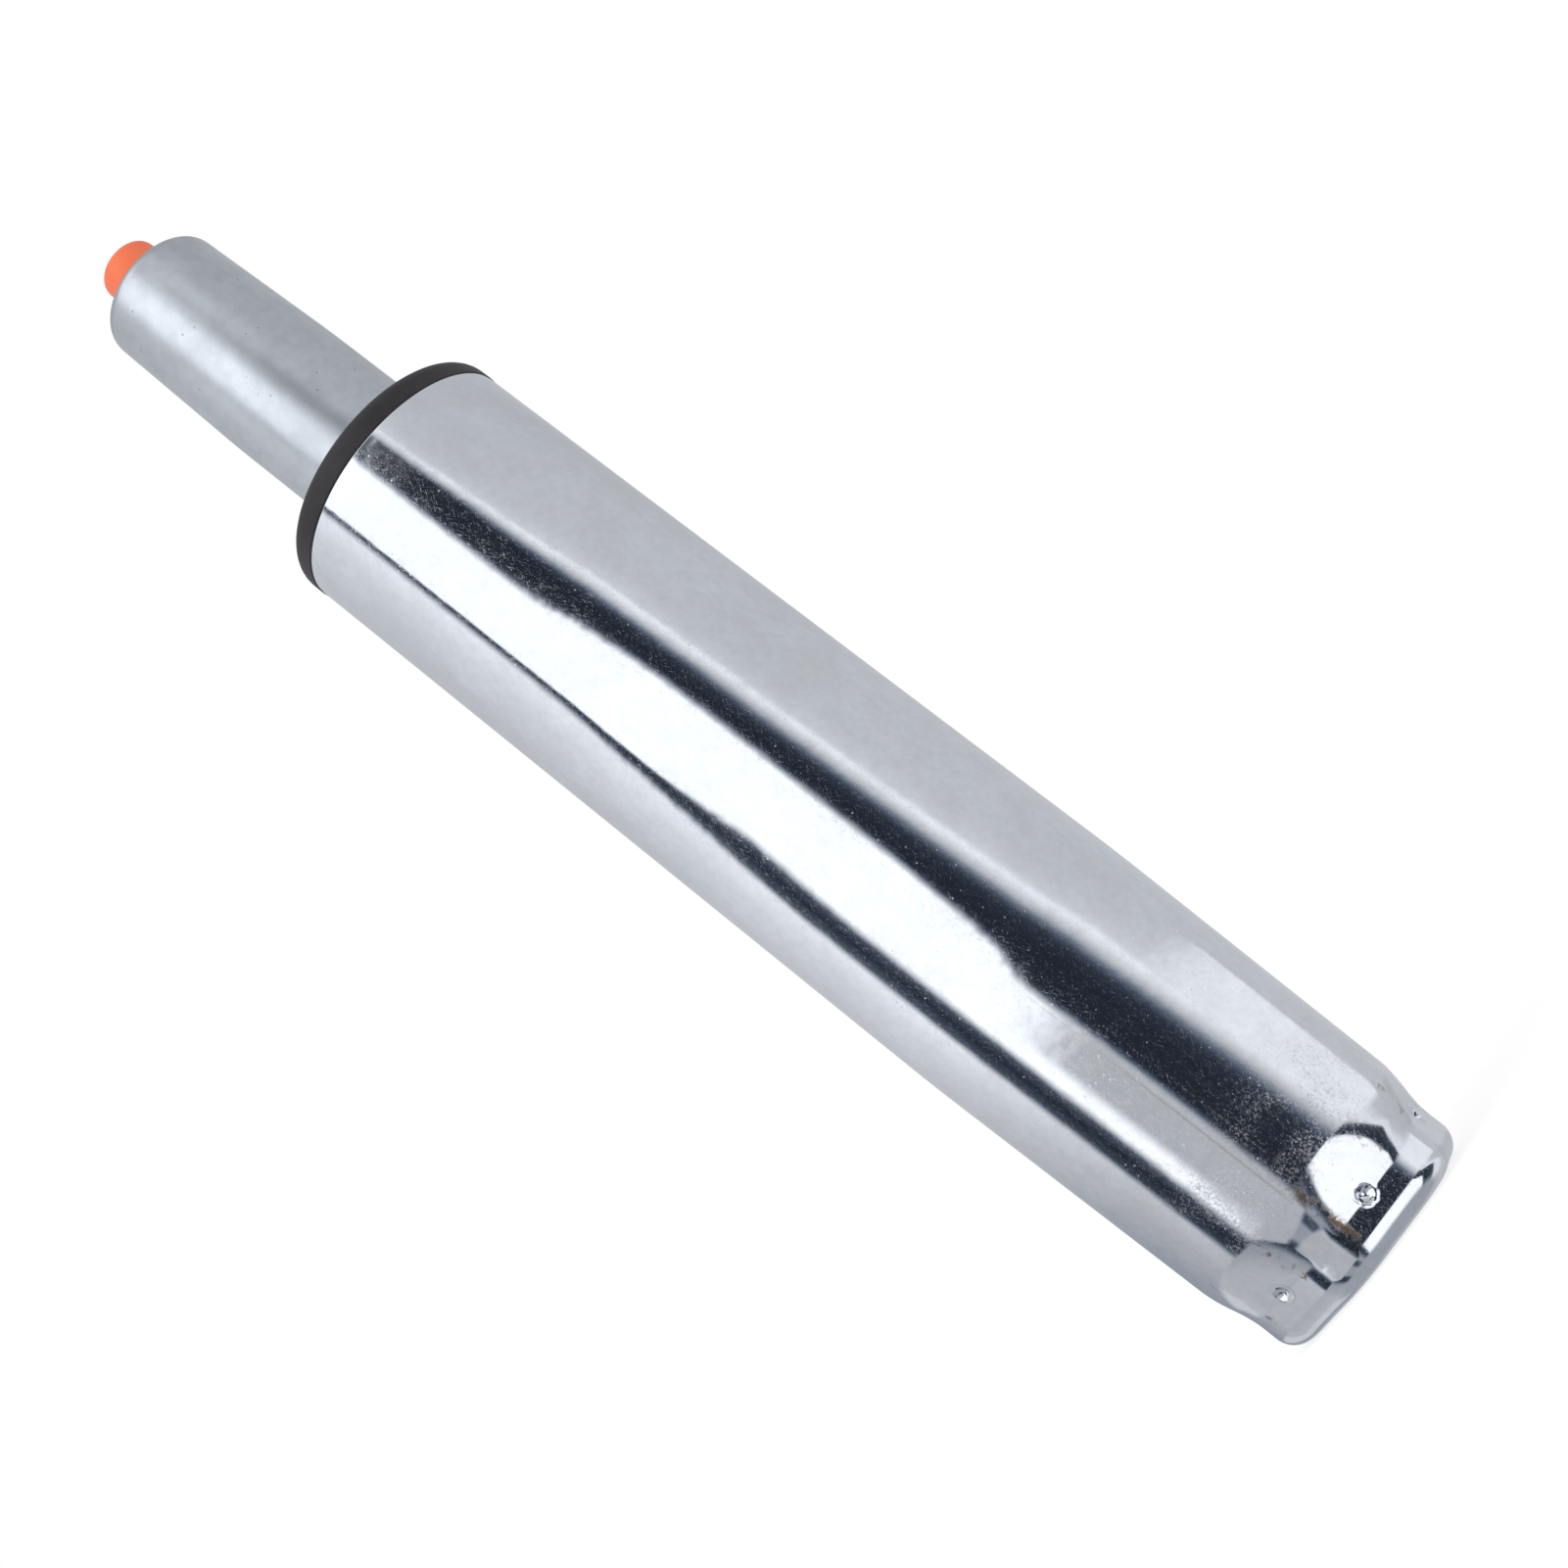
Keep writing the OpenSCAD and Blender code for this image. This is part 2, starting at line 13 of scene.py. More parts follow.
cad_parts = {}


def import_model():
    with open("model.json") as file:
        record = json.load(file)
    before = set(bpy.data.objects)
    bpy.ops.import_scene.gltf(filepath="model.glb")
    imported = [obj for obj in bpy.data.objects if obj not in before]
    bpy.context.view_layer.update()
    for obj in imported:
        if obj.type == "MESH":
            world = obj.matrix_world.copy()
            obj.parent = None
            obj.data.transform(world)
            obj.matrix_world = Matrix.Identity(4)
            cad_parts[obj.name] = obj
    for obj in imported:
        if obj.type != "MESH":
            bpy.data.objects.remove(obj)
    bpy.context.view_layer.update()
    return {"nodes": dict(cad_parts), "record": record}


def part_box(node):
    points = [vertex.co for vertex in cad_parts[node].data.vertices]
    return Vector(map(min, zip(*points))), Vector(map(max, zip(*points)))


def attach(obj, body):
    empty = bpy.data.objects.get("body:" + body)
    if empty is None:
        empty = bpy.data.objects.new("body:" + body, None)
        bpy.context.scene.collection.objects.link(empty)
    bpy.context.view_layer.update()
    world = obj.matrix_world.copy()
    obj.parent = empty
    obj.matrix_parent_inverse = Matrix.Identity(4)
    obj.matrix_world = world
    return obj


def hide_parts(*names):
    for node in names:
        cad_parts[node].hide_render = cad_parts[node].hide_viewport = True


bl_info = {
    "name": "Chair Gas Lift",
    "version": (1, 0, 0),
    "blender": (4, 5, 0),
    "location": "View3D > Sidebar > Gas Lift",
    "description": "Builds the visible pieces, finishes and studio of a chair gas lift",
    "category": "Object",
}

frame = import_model()

MM = 0.001
POLE = 1e-7  # a radius under this is a point on the axis
SHARP = math.radians(32)  # faces that meet at more than this keep a hard edge
RECORD_COLOURS = {m["slot"]: m["base_color"] for m in frame["record"]["materials"]}


def length(name, description, default):
    """A size in metres, for a property group."""
    return FloatProperty(name=name, description=description, default=default, unit="LENGTH", precision=5)


def angle(name, description, degrees):
    """An angle, for a property group."""
    return FloatProperty(name=name, description=description, default=math.radians(degrees), unit="ROTATION")


def count(name, description, default):
    """A number of like features, for a property group."""
    return IntProperty(name=name, description=description, default=default, min=1)


def share(name, description, default):
    """A plain factor, for a property group."""
    return FloatProperty(name=name, description=description, default=default, min=0)


def colour(slot, description, default=None):
    """A colour for a property group; its default is the record's colour of that slot unless one is given."""
    return FloatVectorProperty(
        name=slot.replace("_", " ").capitalize(), description=description,
        default=default or RECORD_COLOURS[slot], subtype="COLOR", min=0, max=1,
    )


class GASLIFT_PG_column(bpy.types.PropertyGroup):
    """Sizes of the chromed column tube and its crimped foot."""

    radius: length("Radius", "Outside radius of the straight tube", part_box("outer_tube")[1].x)
    height: length("Height", "Height of the rim above the foot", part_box("outer_tube")[1].z)
    wall: length("Wall", "Wall of the tube", 2 * MM)
    cone_top: length("Cone top", "Height at which the lower cone starts", 72 * MM)
    cone_ratio: share("Cone ratio", "Length of taper for each unit of diameter", 20)
    crimps: count("Crimps", "Number of crimps round the foot", 6)
    turn: angle("Crimp turn", "Angle of the first crimp about the axis", 43.5)
    apothem: length("Apothem", "Distance from the axis to the flat of a crimp", 20.7 * MM)
    ridge: length("Ridge", "Distance from the axis to the ridge between two crimps", 22.1 * MM)
    top: length("Shoulder top", "Height at which the shoulder of a ridge starts", 17.6 * MM)
    flat_top: length("Flat top", "Height at which the shoulder of a flat starts", 18.9 * MM)
    flat_low: length("Flat shoulder end", "Height at which a flat is upright again", 7.6 * MM)
    low: length("Shoulder end", "Height at which a ridge is upright again", 6.5 * MM)
    corner: length("Corner", "Outside radius of the bottom corner", 4.2 * MM)
    lip: length("Lip", "Width of the lip past the corner", 1.1 * MM)
    dimple: length("Dimple", "Diameter of the punched dimple", 3 * MM)
    dimple_depth: length("Dimple depth", "Depth of the punched dimple", 0.8 * MM)
    dimple_z: length("Dimple height", "Height of the dimples", 8.3 * MM)
    burr: length("Burr", "Height of the metal raised round a dimple", 0.07 * MM)


class GASLIFT_PG_collar(bpy.types.PropertyGroup):
    """Sizes of the guide bushing: its collar on the rim and its sleeve in the column."""

    radius: length("Collar radius", "Outside radius of the collar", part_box("guide_bushing")[1].x)
    top: length("Collar top", "Height of the collar's top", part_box("guide_bushing")[1].z)
    sleeve_end: length("Sleeve end", "Height of the sleeve's lower end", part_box("guide_bushing")[0].z)
    rounding: length("Rounding", "Radius of the collar's top edge", 3.2 * MM)
    bore: length("Bore", "Radius of the bore", 14.06 * MM)
    core: length("Core", "Outside radius of the sleeve's inner tube", 17.06 * MM)
    band: length("Band", "Height of the solid band at each end of the sleeve", 12 * MM)
    sleeve: length("Sleeve radius", "Outside radius of the sleeve", 22.97 * MM)
    ribs: count("Ribs", "Number of ribs on the sleeve", 12)
    rib_width: length("Rib width", "Thickness of one rib", 2 * MM)


class GASLIFT_PG_tube(bpy.types.PropertyGroup):
    """Sizes of the pressure tube."""

    radius: length("Radius", "Outside radius of the straight tube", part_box("pressure_tube")[1].x)
    top: length("Tip", "Height of the tip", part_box("pressure_tube")[1].z)
    end: length("Tail", "Height of the lower end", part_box("pressure_tube")[0].z)
    wall: length("Wall", "Wall of the tube", 2 * MM)
    cone: length("Seat cone", "Length of the seat cone", 35 * MM)
    cone_ratio: share("Cone ratio", "Length of taper for each unit of diameter", 20)
    tip_round: length("Tip rounding", "Radius of the rolled edge at the tip", 2.7 * MM)
    tail_round: length("Tail rounding", "Radius of the rolled edge at the lower end", 2.4 * MM)
    tip_hole: length("Tip hole", "Radius of the opening at the tip", 6.6 * MM)
    tail_hole: length("Tail hole", "Radius of the opening at the lower end", 8.2 * MM)
    rolled_edge: length("Rolled edge", "Radius on the edges of both openings", 0.5 * MM)


class GASLIFT_PG_button(bpy.types.PropertyGroup):
    """Sizes of the release button."""

    radius: length("Radius", "Radius of the button", 6.3 * MM)
    shoulder: length("Shoulder", "Radius of the shoulder that keeps it in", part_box("release_button")[1].x)
    base: length("Base", "Height of the button's underside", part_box("release_button")[0].z)
    top: length("Top", "Height of the crowned top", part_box("release_button")[1].z)
    shoulder_height: length("Shoulder height", "Height of the shoulder", 2.1 * MM)
    edge_z: length("Edge height", "Height at which the rounded edge starts", 290.7 * MM)
    rounding: length("Rounding", "Radius of the edge", 2 * MM)
    crown: length("Crown", "Radius of the crowned top", 16 * MM)
    socket: length("Socket", "Radius of the pin's socket", 2 * MM)
    socket_depth: length("Socket depth", "Depth of the pin's socket", 5 * MM)


class GASLIFT_PG_bearing(bpy.types.PropertyGroup):
    """Sizes of the foot bearing's balls and of the round seals."""

    balls: count("Balls", "Number of balls", 10)
    ball: length("Ball", "Radius of one ball", 2 * MM)
    circle: length("Ball circle", "Radius of the circle through the balls' centres", 8.8 * MM)
    cup_edge: length("Cup edge", "Rounding on the edges of the base cup", 0.4 * MM)
    seal: length("Seal", "Radius of a round seal's section", 1 * MM)


class GASLIFT_PG_finish(bpy.types.PropertyGroup):
    """Colours of the finishes; most defaults come from the record."""

    column_chrome: colour("column_chrome", "Mirror chrome of the column")
    tube_steel: colour("tube_steel", "Satin steel of the pressure tube")
    bushing_plastic: colour("bushing_plastic", "Black acetal of the collar and sleeve", (0.020, 0.019, 0.022))
    button_plastic: colour("button_plastic", "Orange nylon of the button")
    plated_steel: colour("plated_steel", "Zinc plate of cup and washers")
    bearing_steel: colour("bearing_steel", "Polished steel of races and balls")
    cage_plastic: colour("cage_plastic", "Natural nylon of the ball cage")
    seal_rubber: colour("seal_rubber", "Black rubber of seals and buffer")
    rod_chrome: colour("rod_chrome", "Hard chrome of rod and pin")
    cylinder_steel: colour("cylinder_steel", "Drawn steel of the inner cylinder")
    guide_plastic: colour("guide_plastic", "Natural acetal of the rod guide")
    valve_brass: colour("valve_brass", "Turned brass of the valve")
    piston_alloy: colour("piston_alloy", "Turned alloy of the piston")
    clip_steel: colour("clip_steel", "Black oxide of the spring clip")


class GASLIFT_PG_studio(bpy.types.PropertyGroup):
    """The studio's light and the camera."""

    fill: share("Fill", "Level of the even light on the object", 0.72)
    key_power: FloatProperty(name="Key", description="Power of the soft lamp", default=7, unit="POWER")
    floor_radius: length("Floor radius", "Radius of the floor", 3.0)
    tent_radius: length("Tent radius", "Radius of the tent of panels round the object", 4.0)
    lens: FloatProperty(name="Lens", description="Focal length of the camera", default=50.19, unit="CAMERA")
    camera_place: FloatVectorProperty(
        name="Camera place", description="Where the camera stands", default=(-0.0005, -0.3695, 0.03),
        unit="LENGTH",
    )
    camera_tilt: angle("Camera tilt", "How far the camera looks up", 14.43)
    camera_roll: angle("Camera roll", "How far the camera is rolled", -51.96)


class Term:
    """A number inside a node tree; arithmetic on it adds Math nodes to the tree."""

    def __init__(self, tree, socket):
        self.tree = tree
        self.socket = socket

    def step(self, operation, *others):
        """The result of one Math node that starts from this number."""
        node = self.tree.nodes.new("ShaderNodeMath")
        node.operation = operation
        for place, value in enumerate((self, *others)):
            feed(node.inputs[place], value)
        return Term(self.tree, node.outputs[0])

    def __add__(self, other):
        return self.step("ADD", other)

    __radd__ = __add__

    def __mul__(self, other):
        return self.step("MULTIPLY", other)

    __rmul__ = __mul__

    def __sub__(self, other):
        return self.step("SUBTRACT", other)

    def __rsub__(self, other):
        return -self + other

    def __neg__(self):
        return self * -1

    def __abs__(self):
        return self.step("ABSOLUTE")

    def __truediv__(self, other):
        return self.step("DIVIDE", other)

    def __rtruediv__(self, other):
        return self.step("POWER", -1) * other

    def squared(self):
        return self * self

    def root(self):
        return self.step("SQRT")

    def at_least(self, other):
        return self.step("MAXIMUM", other)

    def at_most(self, other):
        return self.step("MINIMUM", other)

    def ramp(self, low, high):
        """0 up to low, 1 from high on, and smooth between them."""
        node = self.tree.nodes.new("ShaderNodeMapRange")
        node.interpolation_type = "SMOOTHSTEP"
        feed(node.inputs["Value"], self)
        feed(node.inputs["From Min"], low)
        feed(node.inputs["From Max"], high)
        return Term(self.tree, node.outputs["Result"])

    def fade(self, low, high):
        """1 up to low, 0 from high on, and smooth between them."""
        return 1 - self.ramp(low, high)

    def window(self, start, full, fading, end):
        """0 up to start, 1 from full to fading, 0 from end on, and smooth between them."""
        return self.ramp(start, full) * self.fade(fading, end)

    def blend(self, one, other):
        """one where this number is 0 and other where it is 1."""
        return (other - one) * self + one


def feed(socket, value):
    """Sets a socket, or links a term or another socket to it."""
    if isinstance(value, Term):
        value.tree.links.new(value.socket, socket)
    elif isinstance(value, bpy.types.NodeSocket):
        socket.id_data.links.new(value, socket)
    else:
        socket.default_value = value


def add(tree, kind, values=None, **settings):
    """A new node with its settings and its inputs by name."""
    node = tree.nodes.new(kind)
    for name, value in settings.items():
        setattr(node, name, value)
    for name, value in (values or {}).items():
        feed(node.inputs[name], value)
    return node


def axes(tree, vector):
    """The three coordinates of a vector socket, as terms."""
    node = add(tree, "ShaderNodeSeparateXYZ", {0: vector})
    return [Term(tree, output) for output in node.outputs]


def joined(tree, x, y, z):
    """The vector of three terms."""
    return add(tree, "ShaderNodeCombineXYZ", {0: x, 1: y, 2: z}).outputs[0]


def distance(x, y):
    """How far the place (x, y) lies from (0, 0), as a term."""
    return (x.squared() + y.squared()).root()


def node_group(name, kind, inputs, outputs):
    """An empty node group: the tree, its inputs as terms by name, and its output node."""
    tree = bpy.data.node_groups.new(name, kind)
    for label, (sort, default) in inputs.items():
        socket = tree.interface.new_socket(name=label, in_out="INPUT", socket_type="NodeSocket" + sort)
        if default is not None:
            socket.default_value = default
    for label, sort in outputs.items():
        tree.interface.new_socket(name=label, in_out="OUTPUT", socket_type="NodeSocket" + sort)
    start = tree.nodes.new("NodeGroupInput")
    end = tree.nodes.new("NodeGroupOutput")
    return tree, {label: Term(tree, start.outputs[label]) for label in inputs}, end


# Shared effects of the finishes

def noise(tree, vector, scale, seed, detail=2.0, rough=0.5):
    """A noise value from 0 to 1 over a vector, as a term."""
    values = {"Vector": vector, "W": seed, "Scale": scale, "Detail": detail, "Roughness": rough}
    node = add(tree, "ShaderNodeTexNoise", values, noise_dimensions="4D")
    return Term(tree, node.outputs["Fac"])


def effect(name, inputs):
    """An empty shader group that gives a mask over Object coordinates."""
    sockets = {"Place": ("Vector", None)}
    sockets.update({label: ("Float", value) for label, value in inputs.items()})
    return node_group(name, "ShaderNodeTree", sockets, {"Mask": "Float"})


@cache
def soft_clouds():
    """Broad soft patches, such as haze on plate."""
    tree, given, end = effect("soft_clouds", {"Size": 0.02, "Seed": 0})
    cloud = noise(tree, given["Place"], 1 / given["Size"], given["Seed"], detail=4, rough=0.6)
    feed(end.inputs["Mask"], cloud.ramp(0.35, 0.72))
    return tree


@cache
def hair_scratches():
    """Short fine scratches on a round piece, leaning both ways across its axis."""
    tree, given, end = effect("hair_scratches", {"Length": 0.004, "Width": 0.0001, "Share": 0.3, "Seed": 0})
    x, y, z = axes(tree, given["Place"])
    out = distance(x, y)
    around = y.step("ARCTAN2", x) * out
    least = 0.8 - given["Share"] * 0.4
    masks = []
    for lean in (math.radians(35), math.radians(-20)):
        along = z * math.cos(lean) + around * math.sin(lean)
        across = around * math.cos(lean) - z * math.sin(lean)
        place = joined(tree, along / given["Length"], across / given["Width"], out / given["Length"])
        lines = noise(tree, place, 1, given["Seed"] + lean, detail=1)
        masks.append(lines.ramp(least, least + 0.06))
    feed(end.inputs["Mask"], masks[0].at_least(masks[1]))
    return tree


@cache
def fine_specks():
    """Small round specks, in some cells of a grid."""
    tree, given, end = effect("fine_specks", {"Size": 0.001, "Share": 0.1, "Seed": 0})
    shifted = add(tree, "ShaderNodeVectorMath", {0: given["Place"], 1: joined(tree, given["Seed"], 0, 0)})
    cells = add(tree, "ShaderNodeTexVoronoi", {"Vector": shifted.outputs[0], "Scale": 1 / given["Size"]})
    chosen = axes(tree, cells.outputs["Color"])[0].step("LESS_THAN", given["Share"])
    near = Term(tree, cells.outputs["Distance"]).fade(0.06, 0.3)
    feed(end.inputs["Mask"], near * chosen)
    return tree


@cache
def crimp_rust():
    """Rust along the edges of a crimped foot's flats, worst at one of them, and a thin line up from there."""
    inputs = {"Crimps": 6, "Turn": 0, "Edge": 0.25, "Worst": 0, "Size": 0.002, "Seed": 0}
    tree, given, end = effect("crimp_rust", inputs)
    x, y, z = axes(tree, given["Place"])
    around = y.step("ARCTAN2", x)
    half_pitch = given["Crimps"].step("POWER", -1) * math.pi
    off = abs((around - given["Turn"]).step("WRAP", half_pitch, -half_pitch))
    by_edge = abs(off - given["Edge"]).fade(0.01, 0.07)
    on_foot = z.window(3 * MM, 6 * MM, 15 * MM, 20 * MM)
    patches = noise(tree, given["Place"], 1 / given["Size"], given["Seed"], detail=4, rough=0.7)
    away = abs((around - given["Worst"]).step("WRAP", math.pi, -math.pi))
    least = away.ramp(0.1, 0.5) * 0.11 + 0.43
    line_away = 0.075
    line = abs(away - line_away).fade(0.003, 0.011)
    line = line * z.window(14 * MM, 20 * MM, 35 * MM, 80 * MM)
    rust = by_edge * on_foot * patches.ramp(least, least + 0.13)
    feed(end.inputs["Mask"], rust.at_least(line * 0.3))
    return tree


@cache
def foot_haze():
    """A fine uneven haze in a band just above the foot, left by handling."""
    tree, given, end = effect("foot_haze", {"Size": 0.0005, "Low": 0.016, "High": 0.042, "Seed": 0})
    z = axes(tree, given["Place"])[2]
    fine = noise(tree, given["Place"], 1 / given["Size"], given["Seed"], detail=4, rough=0.75)
    broad = noise(tree, given["Place"], 0.08 / given["Size"], given["Seed"], detail=2)
    low = given["Low"]
    band = z.window(low * 0.7, low * 1.2, low * 1.5, given["High"])
    feed(end.inputs["Mask"], fine.ramp(0.42, 0.66) * broad.ramp(0.3, 0.6) * band)
    return tree


@cache
def drawn_lines():
    """Fine lines along the axis, left by drawing or grinding."""
    tree, given, end = effect("drawn_lines", {"Width": 0.0003, "Length": 0.02, "Seed": 0})
    x, y, z = axes(tree, given["Place"])
    across = 1 / given["Width"]
    place = joined(tree, x * across, y * across, z / given["Length"])
    feed(end.inputs["Mask"], noise(tree, place, 1, given["Seed"], detail=3).ramp(0.3, 0.7))
    return tree


@cache
def turning_marks():
    """Fine rings about the axis, left by a lathe."""
    tree, given, end = effect("turning_marks", {"Pitch": 0.0003, "Seed": 0})
    x, y, z = axes(tree, given["Place"])
    rings = 1 / given["Pitch"]
    place = joined(tree, z * rings, distance(x, y) * rings, 0)
    feed(end.inputs["Mask"], noise(tree, place, 1, given["Seed"], detail=2))
    return tree


# Finishes

class Mark(NamedTuple):
    """An effect on a finish: its values, a tint and its strength, added roughness, and a height in metres."""

    effect: object
    values: dict
    tint: tuple = None
    strength: float = 0.0
    roughen: float = 0.0
    raised: float = 0.0


@cache
def finishes():
    """The finish of each slot: what its shader is set to, and the marks on it in order."""
    foot = bpy.context.scene.gaslift_column
    hairs = {"Length": 0.0011, "Width": 0.00007, "Share": 0.41, "Seed": 2}
    dust = {"Size": 0.0009, "Share": 0.05, "Seed": 1}
    pits = {"Size": 0.0012, "Share": 0.04, "Seed": 6}
    grain = {"Width": 0.0004, "Length": 0.012, "Seed": 4}
    draw_marks = {"Width": 0.0003, "Length": 0.015, "Seed": 2}
    worst = foot.turn - math.radians(136.5)
    rust = {"Crimps": foot.crimps, "Turn": foot.turn, "Edge": 0.29, "Worst": worst}
    return {
        # Mirror chrome on a tube that isn't quite straight, with haze, hairlines, dust and storage marks
        "column_chrome": ({"Roughness": 0.035, "Metallic": 1.0}, [
            Mark(soft_clouds, {"Size": 0.035, "Seed": 3}, (0.68, 0.71, 0.74), 0.45, roughen=0.035),
            Mark(soft_clouds, {"Size": 0.028, "Seed": 11}, raised=0.03 * MM),
            Mark(soft_clouds, {"Size": 0.007, "Seed": 8}, (0.64, 0.62, 0.60), 0.30, roughen=0.02),
            Mark(soft_clouds, {"Size": 0.0014, "Seed": 5}, (0.64, 0.65, 0.68), 0.45, roughen=0.02),
            Mark(hair_scratches, hairs, roughen=0.17),
            Mark(fine_specks, dust, (0.95, 0.97, 1.0), 0.3, roughen=0.32),
            Mark(fine_specks, {"Size": 0.0005, "Share": 0.2, "Seed": 4}, roughen=0.22),
            Mark(foot_haze, {"Size": 0.0005, "Seed": 7}, (0.60, 0.59, 0.60), 0.5, roughen=0.30),
            Mark(crimp_rust, rust, (0.20, 0.11, 0.06), 0.92, roughen=0.3),
        ]),
        # Satin drawn steel with a fine grain, soft patches and a few dark pits
        "tube_steel": ({"Roughness": 0.29, "Metallic": 1.0}, [
            Mark(soft_clouds, {"Size": 0.012, "Seed": 5}, (0.48, 0.50, 0.52), 0.35, roughen=0.06),
            Mark(soft_clouds, {"Size": 0.0025, "Seed": 3}, (0.47, 0.48, 0.49), 0.5),
            Mark(drawn_lines, grain, (0.52, 0.54, 0.56), 0.3, raised=0.0006 * MM),
            Mark(fine_specks, pits, (0.20, 0.20, 0.21), 0.6, roughen=0.1),
        ]),
        # Matte black acetal with a fine moulded grain and a little dust
        "bushing_plastic": ({"Roughness": 0.50, "Specular IOR Level": 0.35}, [
            Mark(soft_clouds, {"Size": 0.004, "Seed": 1}, (0.034, 0.031, 0.034), 0.6, roughen=0.08),
            Mark(fine_specks, {"Size": 0.0006, "Share": 0.12, "Seed": 2}, (0.10, 0.095, 0.10), 0.4),
            Mark(soft_clouds, {"Size": 0.0006, "Seed": 9}, raised=0.012 * MM),
        ]),
        # Satin orange nylon, a little cloudy from moulding
        "button_plastic": ({"Roughness": 0.42}, [
            Mark(soft_clouds, {"Size": 0.006, "Seed": 2}, (0.98, 0.22, 0.08), 0.6, roughen=0.06),
            Mark(soft_clouds, {"Size": 0.0005, "Seed": 7}, raised=0.006 * MM),
        ]),
        # Zinc plate with a faint spangle, stamping lines and handling marks
        "plated_steel": ({"Roughness": 0.30, "Metallic": 1.0}, [
            Mark(soft_clouds, {"Size": 0.005, "Seed": 6}, (0.66, 0.68, 0.72), 0.6, roughen=0.08),
            Mark(turning_marks, {"Pitch": 0.0004, "Seed": 3}, (0.44, 0.45, 0.46), 0.35, raised=0.002 * MM),
            Mark(fine_specks, {"Size": 0.0012, "Share": 0.08, "Seed": 3}, (0.30, 0.30, 0.30), 0.5),
        ]),
        # Ground and polished bearing steel
        "bearing_steel": ({"Roughness": 0.10, "Metallic": 1.0}, [
            Mark(soft_clouds, {"Size": 0.004, "Seed": 2}, (0.60, 0.61, 0.63), 0.4, roughen=0.06),
            Mark(turning_marks, {"Pitch": 0.00025, "Seed": 8}, (0.64, 0.65, 0.66), 0.3, roughen=0.05),
        ]),
        # Natural nylon with a waxy cloudiness
        "cage_plastic": ({"Roughness": 0.45}, [
            Mark(soft_clouds, {"Size": 0.003, "Seed": 4}, (0.70, 0.60, 0.38), 0.7, roughen=0.08),
            Mark(soft_clouds, {"Size": 0.0005, "Seed": 5}, raised=0.006 * MM),
        ]),
        # Black rubber with a dull bloom and a light dust
        "seal_rubber": ({"Roughness": 0.55}, [
            Mark(soft_clouds, {"Size": 0.003, "Seed": 3}, (0.09, 0.09, 0.095), 0.6, roughen=0.1),
            Mark(fine_specks, {"Size": 0.0006, "Share": 0.08, "Seed": 5}, (0.18, 0.18, 0.18), 0.5),
        ]),
        # Hard chrome with faint grinding rings and oil haze
        "rod_chrome": ({"Roughness": 0.08, "Metallic": 1.0}, [
            Mark(turning_marks, {"Pitch": 0.0002, "Seed": 5}, (0.66, 0.67, 0.69), 0.35, roughen=0.06),
            Mark(soft_clouds, {"Size": 0.01, "Seed": 9}, (0.68, 0.68, 0.67), 0.3, roughen=0.05),
        ]),
        # Drawn steel with lines along the tube
        "cylinder_steel": ({"Roughness": 0.26, "Metallic": 1.0}, [
            Mark(drawn_lines, draw_marks, (0.52, 0.53, 0.54), 0.4, raised=0.001 * MM),
            Mark(soft_clouds, {"Size": 0.012, "Seed": 1}, (0.58, 0.58, 0.57), 0.4, roughen=0.06),
        ]),
        # Natural acetal with faint turning rings
        "guide_plastic": ({"Roughness": 0.40}, [
            Mark(soft_clouds, {"Size": 0.004, "Seed": 6}, (0.86, 0.84, 0.78), 0.6, roughen=0.06),
            Mark(turning_marks, {"Pitch": 0.0003, "Seed": 2}, (0.70, 0.68, 0.60), 0.25, raised=0.002 * MM),
        ]),
        # Turned brass with rings from the tool and a little tarnish
        "valve_brass": ({"Roughness": 0.22, "Metallic": 1.0}, [
            Mark(turning_marks, {"Pitch": 0.0003, "Seed": 1}, (0.60, 0.44, 0.20), 0.5, raised=0.002 * MM),
            Mark(soft_clouds, {"Size": 0.005, "Seed": 8}, (0.50, 0.36, 0.18), 0.3, roughen=0.1),
        ]),
        # Turned aluminium with rings from the tool
        "piston_alloy": ({"Roughness": 0.25, "Metallic": 1.0}, [
            Mark(turning_marks, {"Pitch": 0.0003, "Seed": 4}, (0.58, 0.59, 0.61), 0.5, raised=0.002 * MM),
            Mark(soft_clouds, {"Size": 0.004, "Seed": 7}, (0.76, 0.76, 0.77), 0.4, roughen=0.06),
        ]),
        # Spring steel under black oxide, rubbed pale in places
        "clip_steel": ({"Roughness": 0.36, "Metallic": 0.6}, [
            Mark(soft_clouds, {"Size": 0.002, "Seed": 2}, (0.22, 0.22, 0.24), 0.6, roughen=0.1),
            Mark(hair_scratches, {"Length": 0.002, "Width": 0.00015, "Seed": 5}, (0.40, 0.40, 0.42), 0.6),
        ]),
    }


